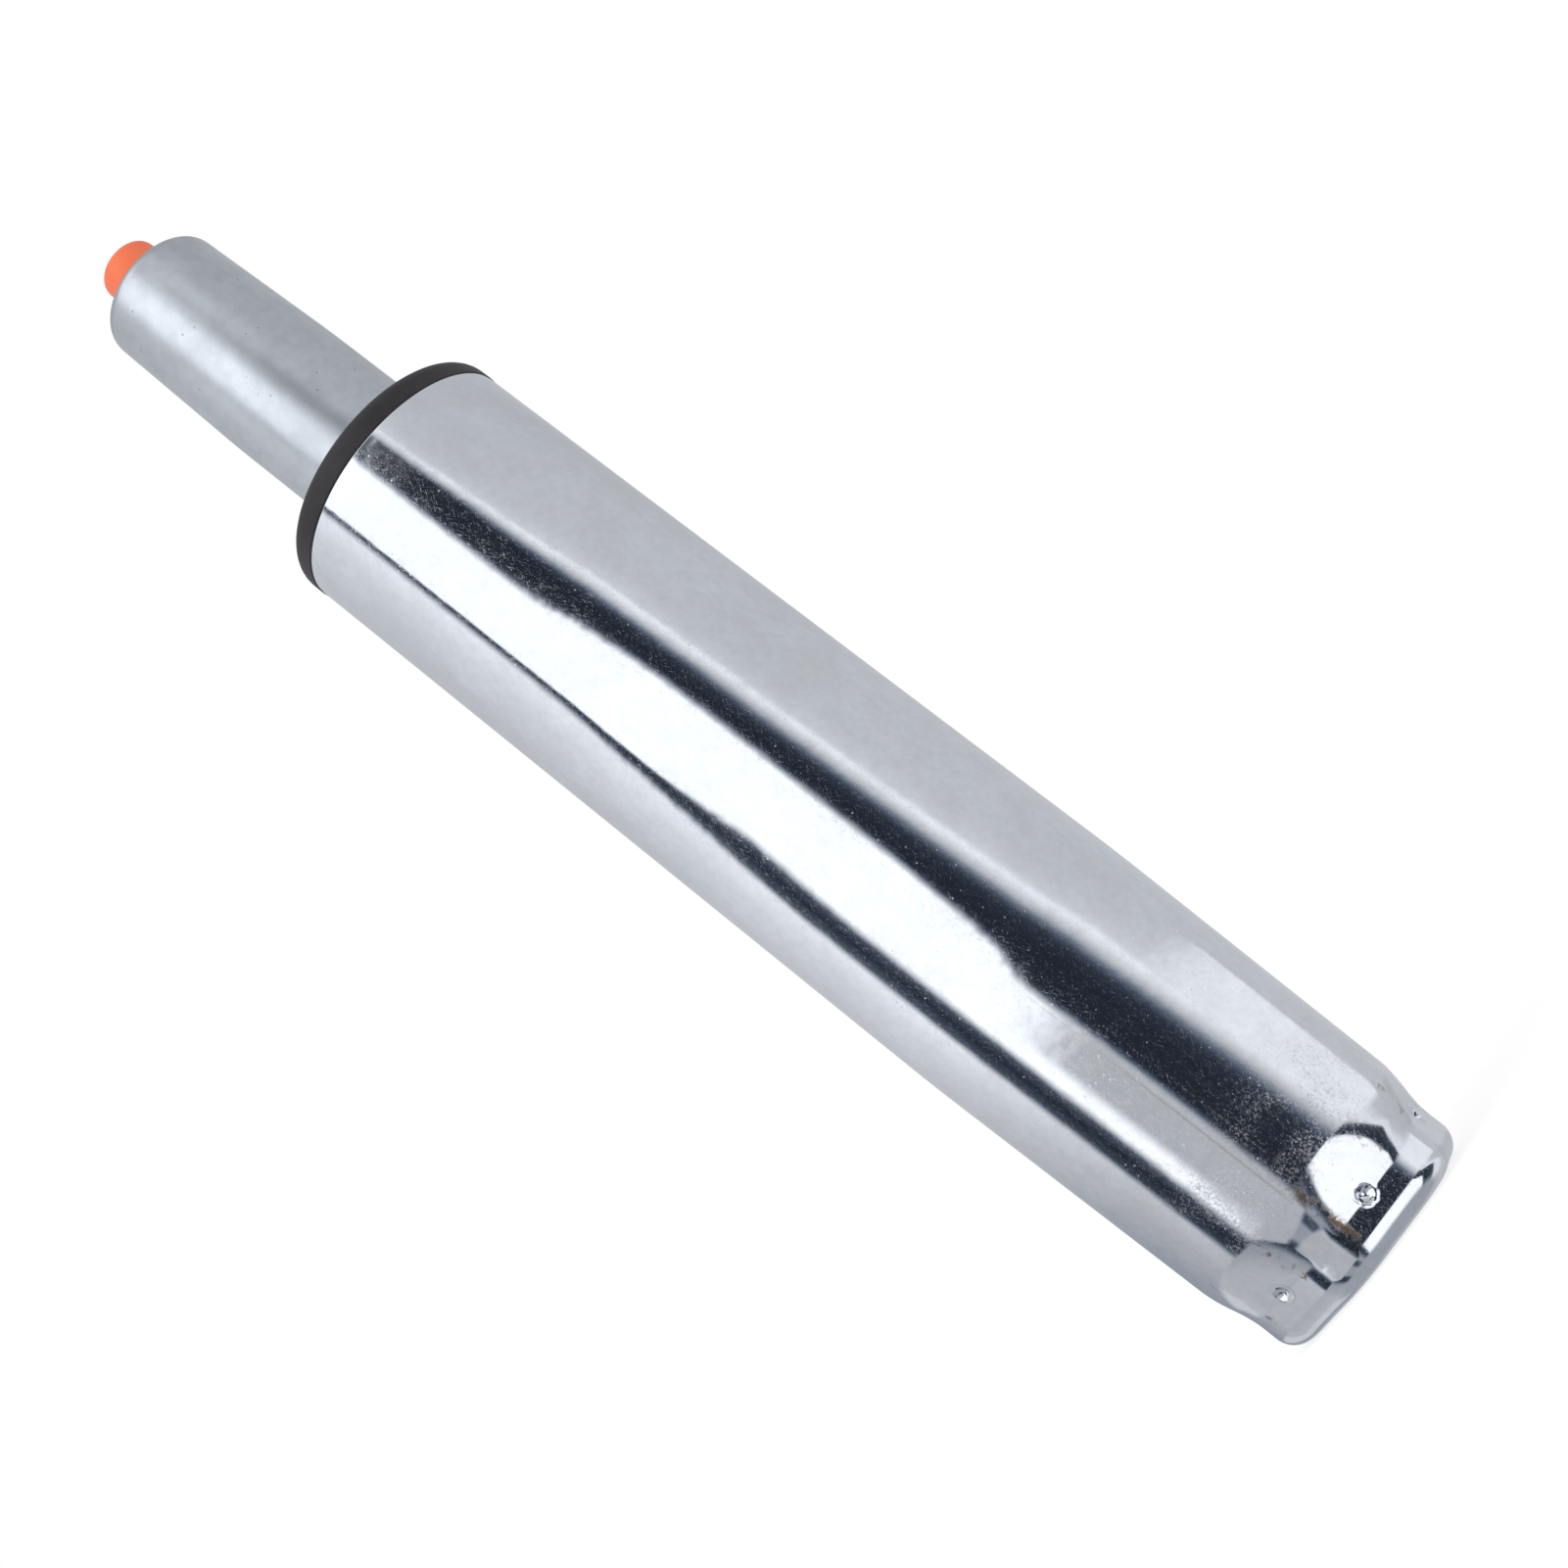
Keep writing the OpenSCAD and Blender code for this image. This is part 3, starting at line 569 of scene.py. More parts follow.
@cache
def finish(slot):
    """The material of a slot: each mark changes its colour, its roughness or its relief."""
    settings, marks = finishes()[slot]
    material = bpy.data.materials.new("look_" + slot)
    material.use_nodes = True
    tree = material.node_tree
    place = add(tree, "ShaderNodeTexCoord").outputs["Object"]
    surface = (*getattr(bpy.context.scene.gaslift_finish, slot), 1.0)
    roughness = settings["Roughness"]
    height = 0
    for mark in marks:
        group = add(tree, "ShaderNodeGroup", {"Place": place, **mark.values}, node_tree=mark.effect())
        mask = Term(tree, group.outputs["Mask"])
        if mark.tint:
            colours = {0: mask * mark.strength, 6: surface, 7: (*mark.tint, 1.0)}
            surface = add(tree, "ShaderNodeMix", colours, data_type="RGBA").outputs[2]
        if mark.roughen:
            roughness = mask * mark.roughen + roughness
        if mark.raised:
            height = mask * mark.raised + height
    values = {**settings, "Base Color": surface, "Roughness": roughness}
    if height:
        bump = add(tree, "ShaderNodeBump", {"Strength": 1.0, "Distance": 1.0, "Height": height})
        values["Normal"] = bump.outputs["Normal"]
    for name, value in values.items():
        feed(tree.nodes["Principled BSDF"].inputs[name], value)
    return material


# Outlines and turned pieces

def rounded(corners, steps=8):
    """Points of an outline through (radius, height, rounding) corners, each corner turned to an arc.

    The outline is open: its first and last corners stay sharp.
    """
    places = [Vector((r, z)) for r, z, _ in corners]
    points = [tuple(places[0])]
    for before, here, after, corner in zip(places, places[1:], places[2:], corners[1:]):
        points += arc_corner(before, here, after, corner[2], steps)
    points.append(tuple(places[-1]))
    return points


def closed(corners, steps=8):
    """Points of a closed outline through (radius, height, rounding) corners; the first stays sharp."""
    return rounded(corners + corners[:1], steps)[:-1]


def arc_corner(before, here, after, radius, steps):
    """The arc that rounds one corner of an outline, or the corner itself."""
    if radius <= 0:
        return [tuple(here)]
    back = (before - here).normalized()
    ahead = (after - here).normalized()
    half = back.angle(ahead) / 2
    centre = here + (back + ahead).normalized() * radius / math.sin(half)
    first = here + back * radius / math.tan(half) - centre
    last = here + ahead * radius / math.tan(half) - centre
    start = math.atan2(first.y, first.x)
    sweep = math.remainder(math.atan2(last.y, last.x) - start, math.tau)
    angles = [start + sweep * i / steps for i in range(steps + 1)]
    return [(centre.x + radius * math.cos(a), centre.y + radius * math.sin(a)) for a in angles]


def turned(name, outline, sides):
    """An object turned about Z from an outline, which closes on itself or starts and ends on the axis."""
    shape = bmesh.new()
    turns = [(math.cos(math.tau * i / sides), math.sin(math.tau * i / sides)) for i in range(sides)]
    rings = []
    for radius, height in outline:
        if radius < POLE:
            rings.append([shape.verts.new((0, 0, height))] * sides)
        else:
            rings.append([shape.verts.new((radius * c, radius * s, height)) for c, s in turns])
    for ring, after in zip(rings, rings[1:] + rings[:1]):
        for i in range(sides):
            j = (i + 1) % sides
            corners = list(dict.fromkeys((ring[i], ring[j], after[j], after[i])))
            if len(corners) > 2:
                shape.faces.new(corners)
    bmesh.ops.recalc_face_normals(shape, faces=shape.faces)
    return placed(name, shape)


def smoothed(mesh):
    """Gives a mesh smooth faces, and sharp edges where it turns hard."""
    mesh.shade_smooth()
    mesh.set_sharp_from_angle(angle=SHARP)
    return mesh


def placed(name, shape=None):
    """A new object in the scene, with the mesh of a finished shape or an empty one."""
    mesh = bpy.data.meshes.new(name)
    if shape:
        shape.to_mesh(mesh)
        shape.free()
    piece = bpy.data.objects.new(name, smoothed(mesh))
    bpy.context.scene.collection.objects.link(piece)
    return piece


def grown(piece, tree, values, slot):
    """Runs a geometry tree on an object and keeps its result as the object's plain mesh."""
    modifier = piece.modifiers.new("rule", "NODES")
    modifier.node_group = tree
    for item in tree.interface.items_tree:
        if item.in_out == "INPUT" and item.name in values:
            modifier[item.identifier] = values[item.name]
        elif item.in_out == "INPUT" and item.name == "Material":
            modifier[item.identifier] = finish(slot)
    evaluated = piece.evaluated_get(bpy.context.evaluated_depsgraph_get())
    mesh = bpy.data.meshes.new_from_object(evaluated)
    piece.modifiers.remove(modifier)
    piece.data = smoothed(mesh)


def dressed(piece, body, slot, *nodes):
    """Gives a finished piece its material and its body, and hides the nodes that it stands for."""
    piece.data.materials.clear()
    piece.data.materials.append(finish(slot))
    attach(piece, body)
    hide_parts(*nodes)
    return piece


class Span(NamedTuple):
    """A round CAD node's outside radius and its heights."""

    outside: float
    low: float
    middle: float
    high: float


def span(node):
    """The outside radius and the heights of a round CAD node, from its box."""
    low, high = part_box(node)
    return Span(high.x, low.z, (low.z + high.z) / 2, high.z)


def rule_tree(name, sizes):
    """An empty geometry tree that takes a mesh, its material and sizes by name."""
    sockets = {"Geometry": ("Geometry", None), "Material": ("Material", None)}
    sockets.update({label: ("Float", value) for label, value in sizes.items()})
    return node_group(name, "GeometryNodeTree", sockets, {"Geometry": "Geometry"})


def lifted(tree, geometry, height):
    """The geometry moved up by a height."""
    values = {"Geometry": geometry, "Translation": joined(tree, 0, 0, height)}
    return add(tree, "GeometryNodeTransform", values).outputs[0]


def closed_tree(tree, geometry, given, end):
    """Ends a geometry tree: instances become a mesh, with its material."""
    real = add(tree, "GeometryNodeRealizeInstances", {"Geometry": geometry})
    values = {"Geometry": real.outputs[0], "Material": given["Material"]}
    feed(end.inputs["Geometry"], add(tree, "GeometryNodeSetMaterial", values).outputs[0])
    return tree


# The column tube with its pressed foot

def press_tree(sizes):
    """A geometry tree that draws a round tube's foot in: flat crimps, round ridges, a dimple in each flat."""
    tree, given, end = rule_tree("pressed_foot", sizes)
    position = add(tree, "GeometryNodeInputPosition").outputs[0]
    x, y, z = axes(tree, position)
    inset = Term(tree, add(tree, "GeometryNodeInputNamedAttribute", {"Name": "inset"}).outputs[0])

    # How far the bottom corner's arc cuts the wall back
    corner = given["Corner"] - inset
    under = (corner - (z - inset)).at_least(0).at_most(corner)
    corner_cut = corner - (corner.squared() - under.squared()).at_least(0).root()

    # The cone that the foot is drawn in from, upright below the shoulder
    over_shoulder = (z - given["Shoulder top"]).at_least(given["Low"] - given["Shoulder top"])
    cone = given["Shoulder radius"] + over_shoulder * given["Taper"]

    def drawn_in(face, low, high, over, lower_arc, upper_arc):
        """The wall's distance from the axis: upright up to low, then a slope with an arc at each end."""
        height = high - low
        above = (z - low).at_least(0).at_most(height)
        from_low = (lower_arc - above).at_least(0).squared() / (lower_arc * 2)
        from_high = (upper_arc - (height - above)).at_least(0).squared() / (upper_arc * 2)
        part = (above - lower_arc * 0.5 + from_low - from_high) / (height - (lower_arc + upper_arc) * 0.5)
        full = given["Foot cone radius"] + over - face
        return cone + over - (1 - part) * full

    # How far the ridges and the flats lie from the axis at this height
    around = y.step("ARCTAN2", x)
    pitch = given["Crimps"].step("POWER", -1) * math.pi
    off = (around - given["Crimp turn"]).step("WRAP", pitch, -pitch)
    half = (given["Shoulder top"] - given["Low"]) * 0.5
    corner_out = drawn_in(given["Ridge"], given["Low"], given["Shoulder top"], 0, half, half)
    flat_out = drawn_in(
        given["Apothem"], given["Flat low"], given["Flat top"], given["Crease"],
        given["Flat foot arc"], given["Flat top arc"],
    )
    flat_out = flat_out.step("SMOOTH_MIN", corner_out, given["Crease"])

    # The section at this height: straight flats, joined at each ridge by an arc that touches both
    reach = 1 / pitch.step("COSINE")
    rounding = (flat_out * reach - corner_out) / (reach - 1)
    centre = corner_out - rounding
    beside = abs(off)
    from_corner = pitch - beside
    arc = centre * from_corner.step("COSINE")
    arc = arc + (rounding.squared() - (centre * from_corner.step("SINE")).squared()).at_least(0).root()
    flat_half = (flat_out - rounding) * pitch.step("TANGENT")
    past_flat = (flat_out * beside.step("TANGENT")).step("GREATER_THAN", flat_half)
    foot = past_flat.blend(flat_out / off.step("COSINE"), arc)
    radius = distance(x, y).at_most(foot - inset - corner_cut)

    # The dimple and the burr round it, on the outside only
    unevenness = 0.5
    burr_place = 1.15
    burr_width = 0.2
    uneven = noise(tree, position, scale=900, seed=2, detail=1) * unevenness + (1 - unevenness / 2)
    sideways = radius * off.step("SINE")
    away = distance(sideways, z - given["Dimple height"]) / given["Dimple radius"] * uneven
    dent = (1 - away.squared()).at_least(0) * given["Dimple depth"]
    burr = (-((away - burr_place) / burr_width).squared()).step("EXPONENT") * given["Burr"]
    outside = inset.step("LESS_THAN", 0.1 * MM)
    radius = radius - (dent - burr) * outside

    place = joined(tree, radius * around.step("COSINE"), radius * around.step("SINE"), z)
    moved = add(tree, "GeometryNodeSetPosition", {"Geometry": given["Geometry"], "Position": place})
    return closed_tree(tree, moved.outputs[0], given, end)


def column_rings(c):
    """The column's rings as (radius, height, inset): down the outside, over the lip, up the inside."""

    def cone(z):
        return c.radius - max(0, c.cone_top - z) / (2 * c.cone_ratio)

    ring_step = 0.24 * MM
    coarse_step = 1.2 * MM
    kink = 0.4  # radius of the faint bend between the tube and its cone
    edge = 0.25 * MM
    pressed_top = c.flat_top + 1.2 * MM
    upper = rounded([
        (c.radius - c.wall / 2, c.height, 0), (c.radius, c.height, edge), (c.radius, c.cone_top, kink),
        (cone(pressed_top), pressed_top, 0),
    ])
    outside = [(r, z, 0.0) for r, z in upper]
    pressed = spread(pressed_top, c.corner, ring_step) + corner_heights(c.corner, 0, 16)
    outside += [(cone(z), z, 0.0) for z in pressed]
    lip = c.apothem - c.corner - c.lip
    behind = lip + edge * 4
    turned_in = rounded([(behind, 0, 0), (lip, 0, edge), (lip, c.wall, edge), (behind, c.wall, 0)])
    rolled = [(r, z, 0.0 if z < c.wall / 2 else c.wall) for r, z in turned_in]
    inner = corner_heights(c.corner - c.wall, c.wall, 6)[::-1]
    inner += spread(c.corner, c.top, coarse_step) + [c.top]
    inside = [(cone(z) - c.wall, z, c.wall) for z in inner]
    bore = rounded([
        (cone(c.top) - c.wall, c.top, 0), (c.radius - c.wall, c.cone_top, kink),
        (c.radius - c.wall, c.height, edge), (c.radius - c.wall / 2, c.height, 0),
    ])
    inside += [(r, z, c.wall) for r, z in bore[1:-1]]
    return outside + rolled + inside


def spread(start, stop, step):
    """Even heights between start and stop, without the two."""
    parts = max(2, round(abs(stop - start) / step))
    return [start + (stop - start) * i / parts for i in range(1, parts)]


def corner_heights(radius, base, steps):
    """Heights along a quarter arc from its upright end down to its base."""
    return [base + radius * (1 - math.sin(math.pi / 2 * i / steps)) for i in range(steps + 1)]


def column_shell(c):
    """The chromed tube: a turned tube whose foot a geometry tree presses in."""
    sides = 600
    rings = column_rings(c)
    piece = turned("column_shell", [(r, z) for r, z, _ in rings], sides)
    inset = piece.data.attributes.new("inset", "FLOAT", "POINT")
    inset.data.foreach_set("value", [ring[2] for ring in rings for _ in range(sides)])
    taper = 1 / (2 * c.cone_ratio)
    sizes = {
        "Crimps": float(c.crimps), "Crimp turn": c.turn, "Apothem": c.apothem, "Ridge": c.ridge,
        "Shoulder radius": c.radius - (c.cone_top - c.top) * taper,
        "Foot cone radius": c.radius - (c.cone_top - c.low) * taper, "Taper": taper,
        "Shoulder top": c.top, "Low": c.low, "Flat top": c.flat_top, "Flat low": c.flat_low,
        "Flat top arc": 3 * MM, "Flat foot arc": 1.6 * MM, "Crease": 0.12 * MM, "Corner": c.corner,
        "Dimple radius": c.dimple / 2, "Dimple depth": c.dimple_depth, "Dimple height": c.dimple_z,
        "Burr": c.burr,
    }
    grown(piece, press_tree(sizes), sizes, "column_chrome")
    piece.data.attributes.remove(piece.data.attributes["inset"])
    return dressed(piece, "column", "column_chrome", "outer_tube")


# The collar and its ribbed sleeve

def rib_tree(sizes):
    """A geometry tree that sets like ribs round a sleeve."""
    tree, given, end = rule_tree("sleeve_ribs", sizes)
    reach = given["Outer radius"] - given["Inner radius"]
    block = add(tree, "GeometryNodeMeshCube", {"Size": joined(tree, reach, given["Width"], given["Height"])})
    middle = (given["Outer radius"] + given["Inner radius"]) * 0.5
    circle = add(tree, "GeometryNodeMeshCircle", {"Vertices": given["Count"], "Radius": middle})
    index = Term(tree, add(tree, "GeometryNodeInputIndex").outputs[0])
    turn = joined(tree, 0, 0, index * math.tau / given["Count"])
    values = {"Points": circle.outputs[0], "Instance": block.outputs["Mesh"], "Rotation": turn}
    ribs = add(tree, "GeometryNodeInstanceOnPoints", values)
    whole = add(tree, "GeometryNodeJoinGeometry")
    feed(whole.inputs[0], given["Geometry"])
    feed(whole.inputs[0], lifted(tree, ribs.outputs[0], given["Middle height"]))
    return closed_tree(tree, whole.outputs[0], given, end)


def guide_collar(g, c):
    """The black collar on the rim and its sleeve, whose ribs a geometry tree sets round."""
    edge = 0.3 * MM
    chamfer = 0.8 * MM
    lower_band = g.sleeve_end + g.band
    upper_band = c.height - g.band
    outline = closed([
        (g.bore, lower_band, 0), (g.bore, g.top - chamfer, edge), (g.bore + chamfer, g.top, edge),
        (g.radius, g.top, g.rounding), (g.radius, c.height, edge), (g.sleeve, c.height, 0),
        (g.sleeve, upper_band, edge), (g.core, upper_band, edge), (g.core, lower_band, edge),
        (g.sleeve, lower_band, edge), (g.sleeve, g.sleeve_end, edge), (g.bore, g.sleeve_end, edge),
    ])
    piece = turned("guide_collar", outline, sides=240)
    root = 0.5 * MM
    clearance = 0.2 * MM
    sizes = {
        "Count": float(g.ribs), "Width": g.rib_width, "Inner radius": g.core - root,
        "Outer radius": math.sqrt(g.sleeve**2 - g.rib_width**2 / 4) - clearance,
        "Height": c.height - g.sleeve_end - 2 * g.band + 2 * root,
        "Middle height": (c.height + g.sleeve_end) / 2,
    }
    grown(piece, rib_tree(sizes), sizes, "bushing_plastic")
    return dressed(piece, "column", "bushing_plastic", "guide_bushing")


# The pressure tube and the button

def lift_tube(t):
    """The satin pressure tube, with its seat cone and both ends rolled in."""
    tip = t.radius - t.cone / (2 * t.cone_ratio)
    cone_start = t.top - t.cone
    kink = 0.3  # radius of the faint bend between the tube and its cone
    bore = t.radius - t.wall
    least_round = 0.3 * MM
    inner_tip = max(t.tip_round - t.wall, least_round)
    inner_tail = max(t.tail_round - t.wall, least_round)
    outline = closed([
        (bore, (t.top + t.end) / 2, 0), (bore, t.end + t.wall, inner_tail),
        (t.tail_hole, t.end + t.wall, t.rolled_edge), (t.tail_hole, t.end, t.rolled_edge),
        (t.radius, t.end, t.tail_round), (t.radius, cone_start, kink), (tip, t.top, t.tip_round),
        (t.tip_hole, t.top, t.rolled_edge), (t.tip_hole, t.top - t.wall, t.rolled_edge),
        (tip - t.wall, t.top - t.wall, inner_tip), (bore, cone_start, kink),
    ], steps=12)
    return dressed(turned("lift_tube", outline, sides=240), "lift", "tube_steel", "pressure_tube")


def release_button(b):
    """The orange button, with a crowned top, a rounded edge and a small mark from its mould."""
    crown_z = b.top - b.crown
    lean = math.asin((b.radius - b.rounding) / (b.crown - b.rounding))
    edge = 0.3 * MM
    gate = 0.9 * MM
    gate_depth = 0.15 * MM
    crown = [
        (b.crown * math.sin(a), crown_z + b.crown * math.cos(a))
        for a in (lean + (gate / b.crown - lean) * i / 12 for i in range(13))
    ]
    edge_arc = [
        (b.radius - b.rounding + b.rounding * math.sin(a), b.edge_z + b.rounding * math.cos(a))
        for a in (math.pi / 2 + (lean - math.pi / 2) * i / 10 for i in range(1, 10))
    ]
    shoulder_top = b.base + b.shoulder_height
    socket_top = b.base + b.socket_depth
    side = rounded([
        (0, socket_top, 0), (b.socket, socket_top, 0), (b.socket, b.base, edge), (b.shoulder, b.base, edge),
        (b.shoulder, shoulder_top, edge), (b.radius, shoulder_top, edge), (b.radius, b.edge_z, 0),
    ])
    mark = [(gate * 0.8, b.top - gate_depth * 0.8), (0, b.top - gate_depth)]
    piece = turned("press_button", side + edge_arc + crown + mark, sides=160)
    return dressed(piece, "release", "button_plastic", "release_button")


# Pieces that show under the foot

def base_plate(c, bearing):
    """The cup that the crimps hold in the foot."""
    cup = span("base_cup")
    bore = 4.06 * MM
    edge = bearing.cup_edge
    underside = cup.high - 2.5 * MM
    recess = cup.outside - 3.9 * MM
    chamfer = c.corner - c.wall
    rim = min(cup.outside, c.apothem - c.wall)
    outline = closed([
        (bore, (underside + cup.high) / 2, 0), (bore, cup.high, edge), (rim, cup.high, edge),
        (rim, cup.low + chamfer, edge), (rim - chamfer, cup.low, edge), (recess, cup.low, edge),
        (recess, underside, edge * 2), (bore, underside, edge),
    ])
    return dressed(turned("base_plate", outline, sides=192), "column", "plated_steel", "base_cup")


def foot_washer():
    """The washer over the spring clip."""
    outside, low, middle, high = span("clip_washer")
    bore = 4.0 * MM
    edge = 0.25 * MM
    outline = closed([
        (bore, middle, 0), (bore, high, edge), (outside, high, edge), (outside, low, edge), (bore, low, edge),
    ])
    return dressed(turned("foot_washer", outline, sides=144), "rod", "plated_steel", "clip_washer")


# Balls and round seals

def ball_tree(sizes):
    """A geometry tree that sets balls round a circle."""
    tree, given, end = rule_tree("ball_circle", sizes)
    row = {"Vertices": given["Count"], "Radius": given["Circle radius"]}
    circle = add(tree, "GeometryNodeMeshCircle", row)
    ball_size = {"Segments": 40, "Rings": 20, "Radius": given["Ball radius"]}
    ball = add(tree, "GeometryNodeMeshUVSphere", ball_size)
    values = {"Points": circle.outputs[0], "Instance": ball.outputs["Mesh"]}
    balls = add(tree, "GeometryNodeInstanceOnPoints", values)
    return closed_tree(tree, lifted(tree, balls.outputs[0], given["Height"]), given, end)


def ball_set(b):
    """The ten balls of the foot bearing."""
    piece = placed("ball_set")
    height = span("bearing_balls").middle
    sizes = {"Count": float(b.balls), "Circle radius": b.circle, "Ball radius": b.ball, "Height": height}
    grown(piece, ball_tree(sizes), sizes, "bearing_steel")
    return dressed(piece, "cage", "bearing_steel", "bearing_balls")


def seal_tree(sizes):
    """A geometry tree that sweeps a round section about the axis."""
    tree, given, end = rule_tree("round_seal", sizes)
    kind = "GeometryNodeCurvePrimitiveCircle"
    path = add(tree, kind, {"Resolution": 96, "Radius": given["Ring radius"]})
    section = add(tree, kind, {"Resolution": 20, "Radius": given["Section radius"]})
    values = {"Curve": path.outputs["Curve"], "Profile Curve": section.outputs["Curve"]}
    swept = add(tree, "GeometryNodeCurveToMesh", values)
    return closed_tree(tree, lifted(tree, swept.outputs[0], given["Height"]), given, end)


SEALS = {
    "piston_ring": "rod", "guide_o_ring": "lift", "seat_o_ring": "lift", "pin_o_ring": "lift",
    "body_o_ring": "lift",
}


def round_seals(b):
    """The round rubber seals, each where its node is."""
    tree = None
    for node, body in SEALS.items():
        ring = span(node)
        sizes = {"Ring radius": ring.outside - b.seal, "Section radius": b.seal, "Height": ring.middle}
        tree = tree or seal_tree(sizes)
        piece = placed(node + "_seal")
        grown(piece, tree, sizes, "seal_rubber")
        dressed(piece, body, "seal_rubber", node)


def buffer_block():
    """The rubber end stop, with rounded edges and a shallow waist."""
    outside, low, middle, high = span("rubber_buffer")
    bore = 5.03 * MM
    edge = 0.3 * MM
    round_edge = 1.5 * MM
    waist = 0.9 * MM
    bead = 1.2 * MM
    outline = closed([
        (bore, middle, 0), (bore, low, edge), (outside, low, round_edge), (outside, middle - bead, edge),
        (outside - waist, middle, waist), (outside, middle + bead, edge), (outside, high, round_edge),
        (bore, high, edge),
    ])
    return dressed(turned("buffer_block", outline, sides=144), "rod", "seal_rubber", "rubber_buffer")


def lip_seal():
    """The rod's seal: a ring with a groove between its two lips."""
    outside, low, middle, high = span("rod_seal")
    bore = 5.06 * MM
    lip = 1.2 * MM
    edge = 0.3 * MM
    outline = closed([
        (bore, middle, 0), (bore, low, edge), (outside, low, edge * 2), (outside, high, edge),
        (outside - lip, high, edge), (outside - lip, middle, edge * 3), (bore + lip, middle, edge * 3),
        (bore + lip, high, edge), (bore, high, edge),
    ])
    return dressed(turned("lip_seal", outline, sides=144), "lift", "seal_rubber", "rod_seal")


def carried_nodes():
    """Every node that still shows keeps its mesh and gets the finish of its slot."""
    for row in frame["record"]["subparts"]:
        node = frame["nodes"][row["node"]]
        if not node.hide_render:
            material = finish(row["material_slot"])
            for place in node.material_slots:
                place.material = material


# Studio

# Brightness of the tent's panels as (azimuth, level); the azimuth is 0 towards -Y and 90 towards -X
UPRIGHT_PANELS = [
    (-180, 0.55), (-120, 0.64), (-60, 0.67), (-51, 0.72), (-44, 0.78), (-40, 1.10), (-37, 1.0),
    (-32, 0.66), (-28, 0.28), (-25, 0.11), (-22, 0.05), (-12, 0.03), (-8, 0.06), (-4, 0.7), (-2, 1.4),
    (55, 1.4), (57, 0.9), (60, 0.12), (66, 0.04), (73, 0.12), (79, 1.1), (100, 0.88), (140, 0.66),
    (180, 0.55),
]
LOW_PANELS = [
    (-180, 0.55), (-165, 0.60), (-136, 0.66), (-124, 0.86), (-119, 0.95), (-113, 0.95), (-104, 0.95),
    (-96, 0.10), (-72, 0.05), (-63, 0.05), (-58, 1.35), (-17, 1.35), (-12, 0.06), (-5, 0.06), (2, 0.42),
    (8, 0.42), (11, 0.10), (19, 0.10), (23, 0.42), (41, 0.42), (46, 0.08), (55, 0.06), (64, 0.42),
    (108, 0.58), (121, 0.60), (126, 0.72), (149, 0.72), (155, 0.40), (163, 0.40), (170, 0.50), (180, 0.55),
]
OVERHEAD_PANELS = [
    (-180, 0.54), (-75, 0.54), (-50, 0.64), (-30, 0.90), (-14, 0.86), (-4, 0.94), (8, 1.34), (16, 1.60),
    (48, 1.60), (56, 1.16), (64, 0.76), (80, 0.64), (110, 0.56), (180, 0.54),
]


def panel_level(tree, azimuth, panels):
    """The brightness of a round of panels at an azimuth in degrees, as a term."""
    node = add(tree, "ShaderNodeValToRGB", {0: azimuth / 360 + 0.5})
    ramp = node.color_ramp
    while len(ramp.elements) < len(panels):
        ramp.elements.new(0.5)
    top = max(level for _, level in panels)
    for element, (degrees, level) in zip(ramp.elements, panels):
        element.position = degrees / 360 + 0.5
        grey = level / top
        element.color = (grey, grey, grey, 1.0)
    return Term(tree, node.outputs["Color"]) * top


def leaning_azimuth(azimuth, rise):
    """The azimuth at which a direction meets the upright panels, in degrees.

    As they rise, the panels under -15 degrees narrow, the edge from there to 22 degrees bows, and
    the dark strip over 22 degrees leans in and narrows.
    """
    under = azimuth * (rise.at_least(-2) * 0.0175 + (rise - 27).at_least(0) * 0.062 + 0.645)
    bow = ((rise - 17) / 12).squared().squared().at_most(0.9) * 16
    between = (azimuth - bow).at_least(-12)
    past_strip = azimuth - (79 - rise.ramp(12, 27) * 17.5)
    narrowing = rise.ramp(17, 29) * 4.5 + 0.75
    over = (past_strip.at_most(0) * narrowing + past_strip.at_least(0) + 73).at_least(50)
    lower_part = azimuth.step("LESS_THAN", -15).blend(between, under)
    return azimuth.step("GREATER_THAN", 22).blend(lower_part, over)


def tent_level(tree, azimuth, rise):
    """The brightness of the tent in a direction: boxes, dark flags and grey cloth round the object.

    The direction is an azimuth and a rise over the horizon, both in degrees.
    """
    leaning = leaning_azimuth(azimuth, rise).at_least(-180).at_most(180)
    upper = panel_level(tree, leaning, UPRIGHT_PANELS)

    # Just over the horizon, a grey table towards -X and a bright card towards +X
    wider = rise.fade(-4.2, -2.9) * 14
    table = azimuth.window(2, 14, wider + 38, wider + 50) * rise.fade(1.8, 4.4)
    card = azimuth.window(-120, -108, -63, -56) * rise.fade(1.5, 5.5)
    upper = table.blend(upper, 0.56).at_least(card * 1.05)

    # The overhead panels are brightest at their lower edge, which is sharp only near -Y
    overhead = panel_level(tree, azimuth, OVERHEAD_PANELS) * (1.4 - rise.ramp(36.5, 42) * 0.4)
    softer = abs(azimuth).ramp(60, 95) * 14
    upper = rise.ramp(36.4 - softer, 37.3 + softer).blend(upper, overhead)
    upper = upper * (1 - azimuth.ramp(62, 78) * rise.fade(-3, 8) * 0.4)

    # The low panels narrow near the horizon, start lower on part of the -X side, and end in grey
    aside = (azimuth + 27) * rise.ramp(-30, -8) * 1.2
    lower = panel_level(tree, azimuth + aside.at_least(-40).at_most(0), LOW_PANELS)
    lower = rise.ramp(-58, -42).blend(0.45, lower)
    lowered = azimuth.window(-4, 4, 50, 60) * 16 + 3
    return (rise + lowered).ramp(-9, -5).blend(lower, upper)


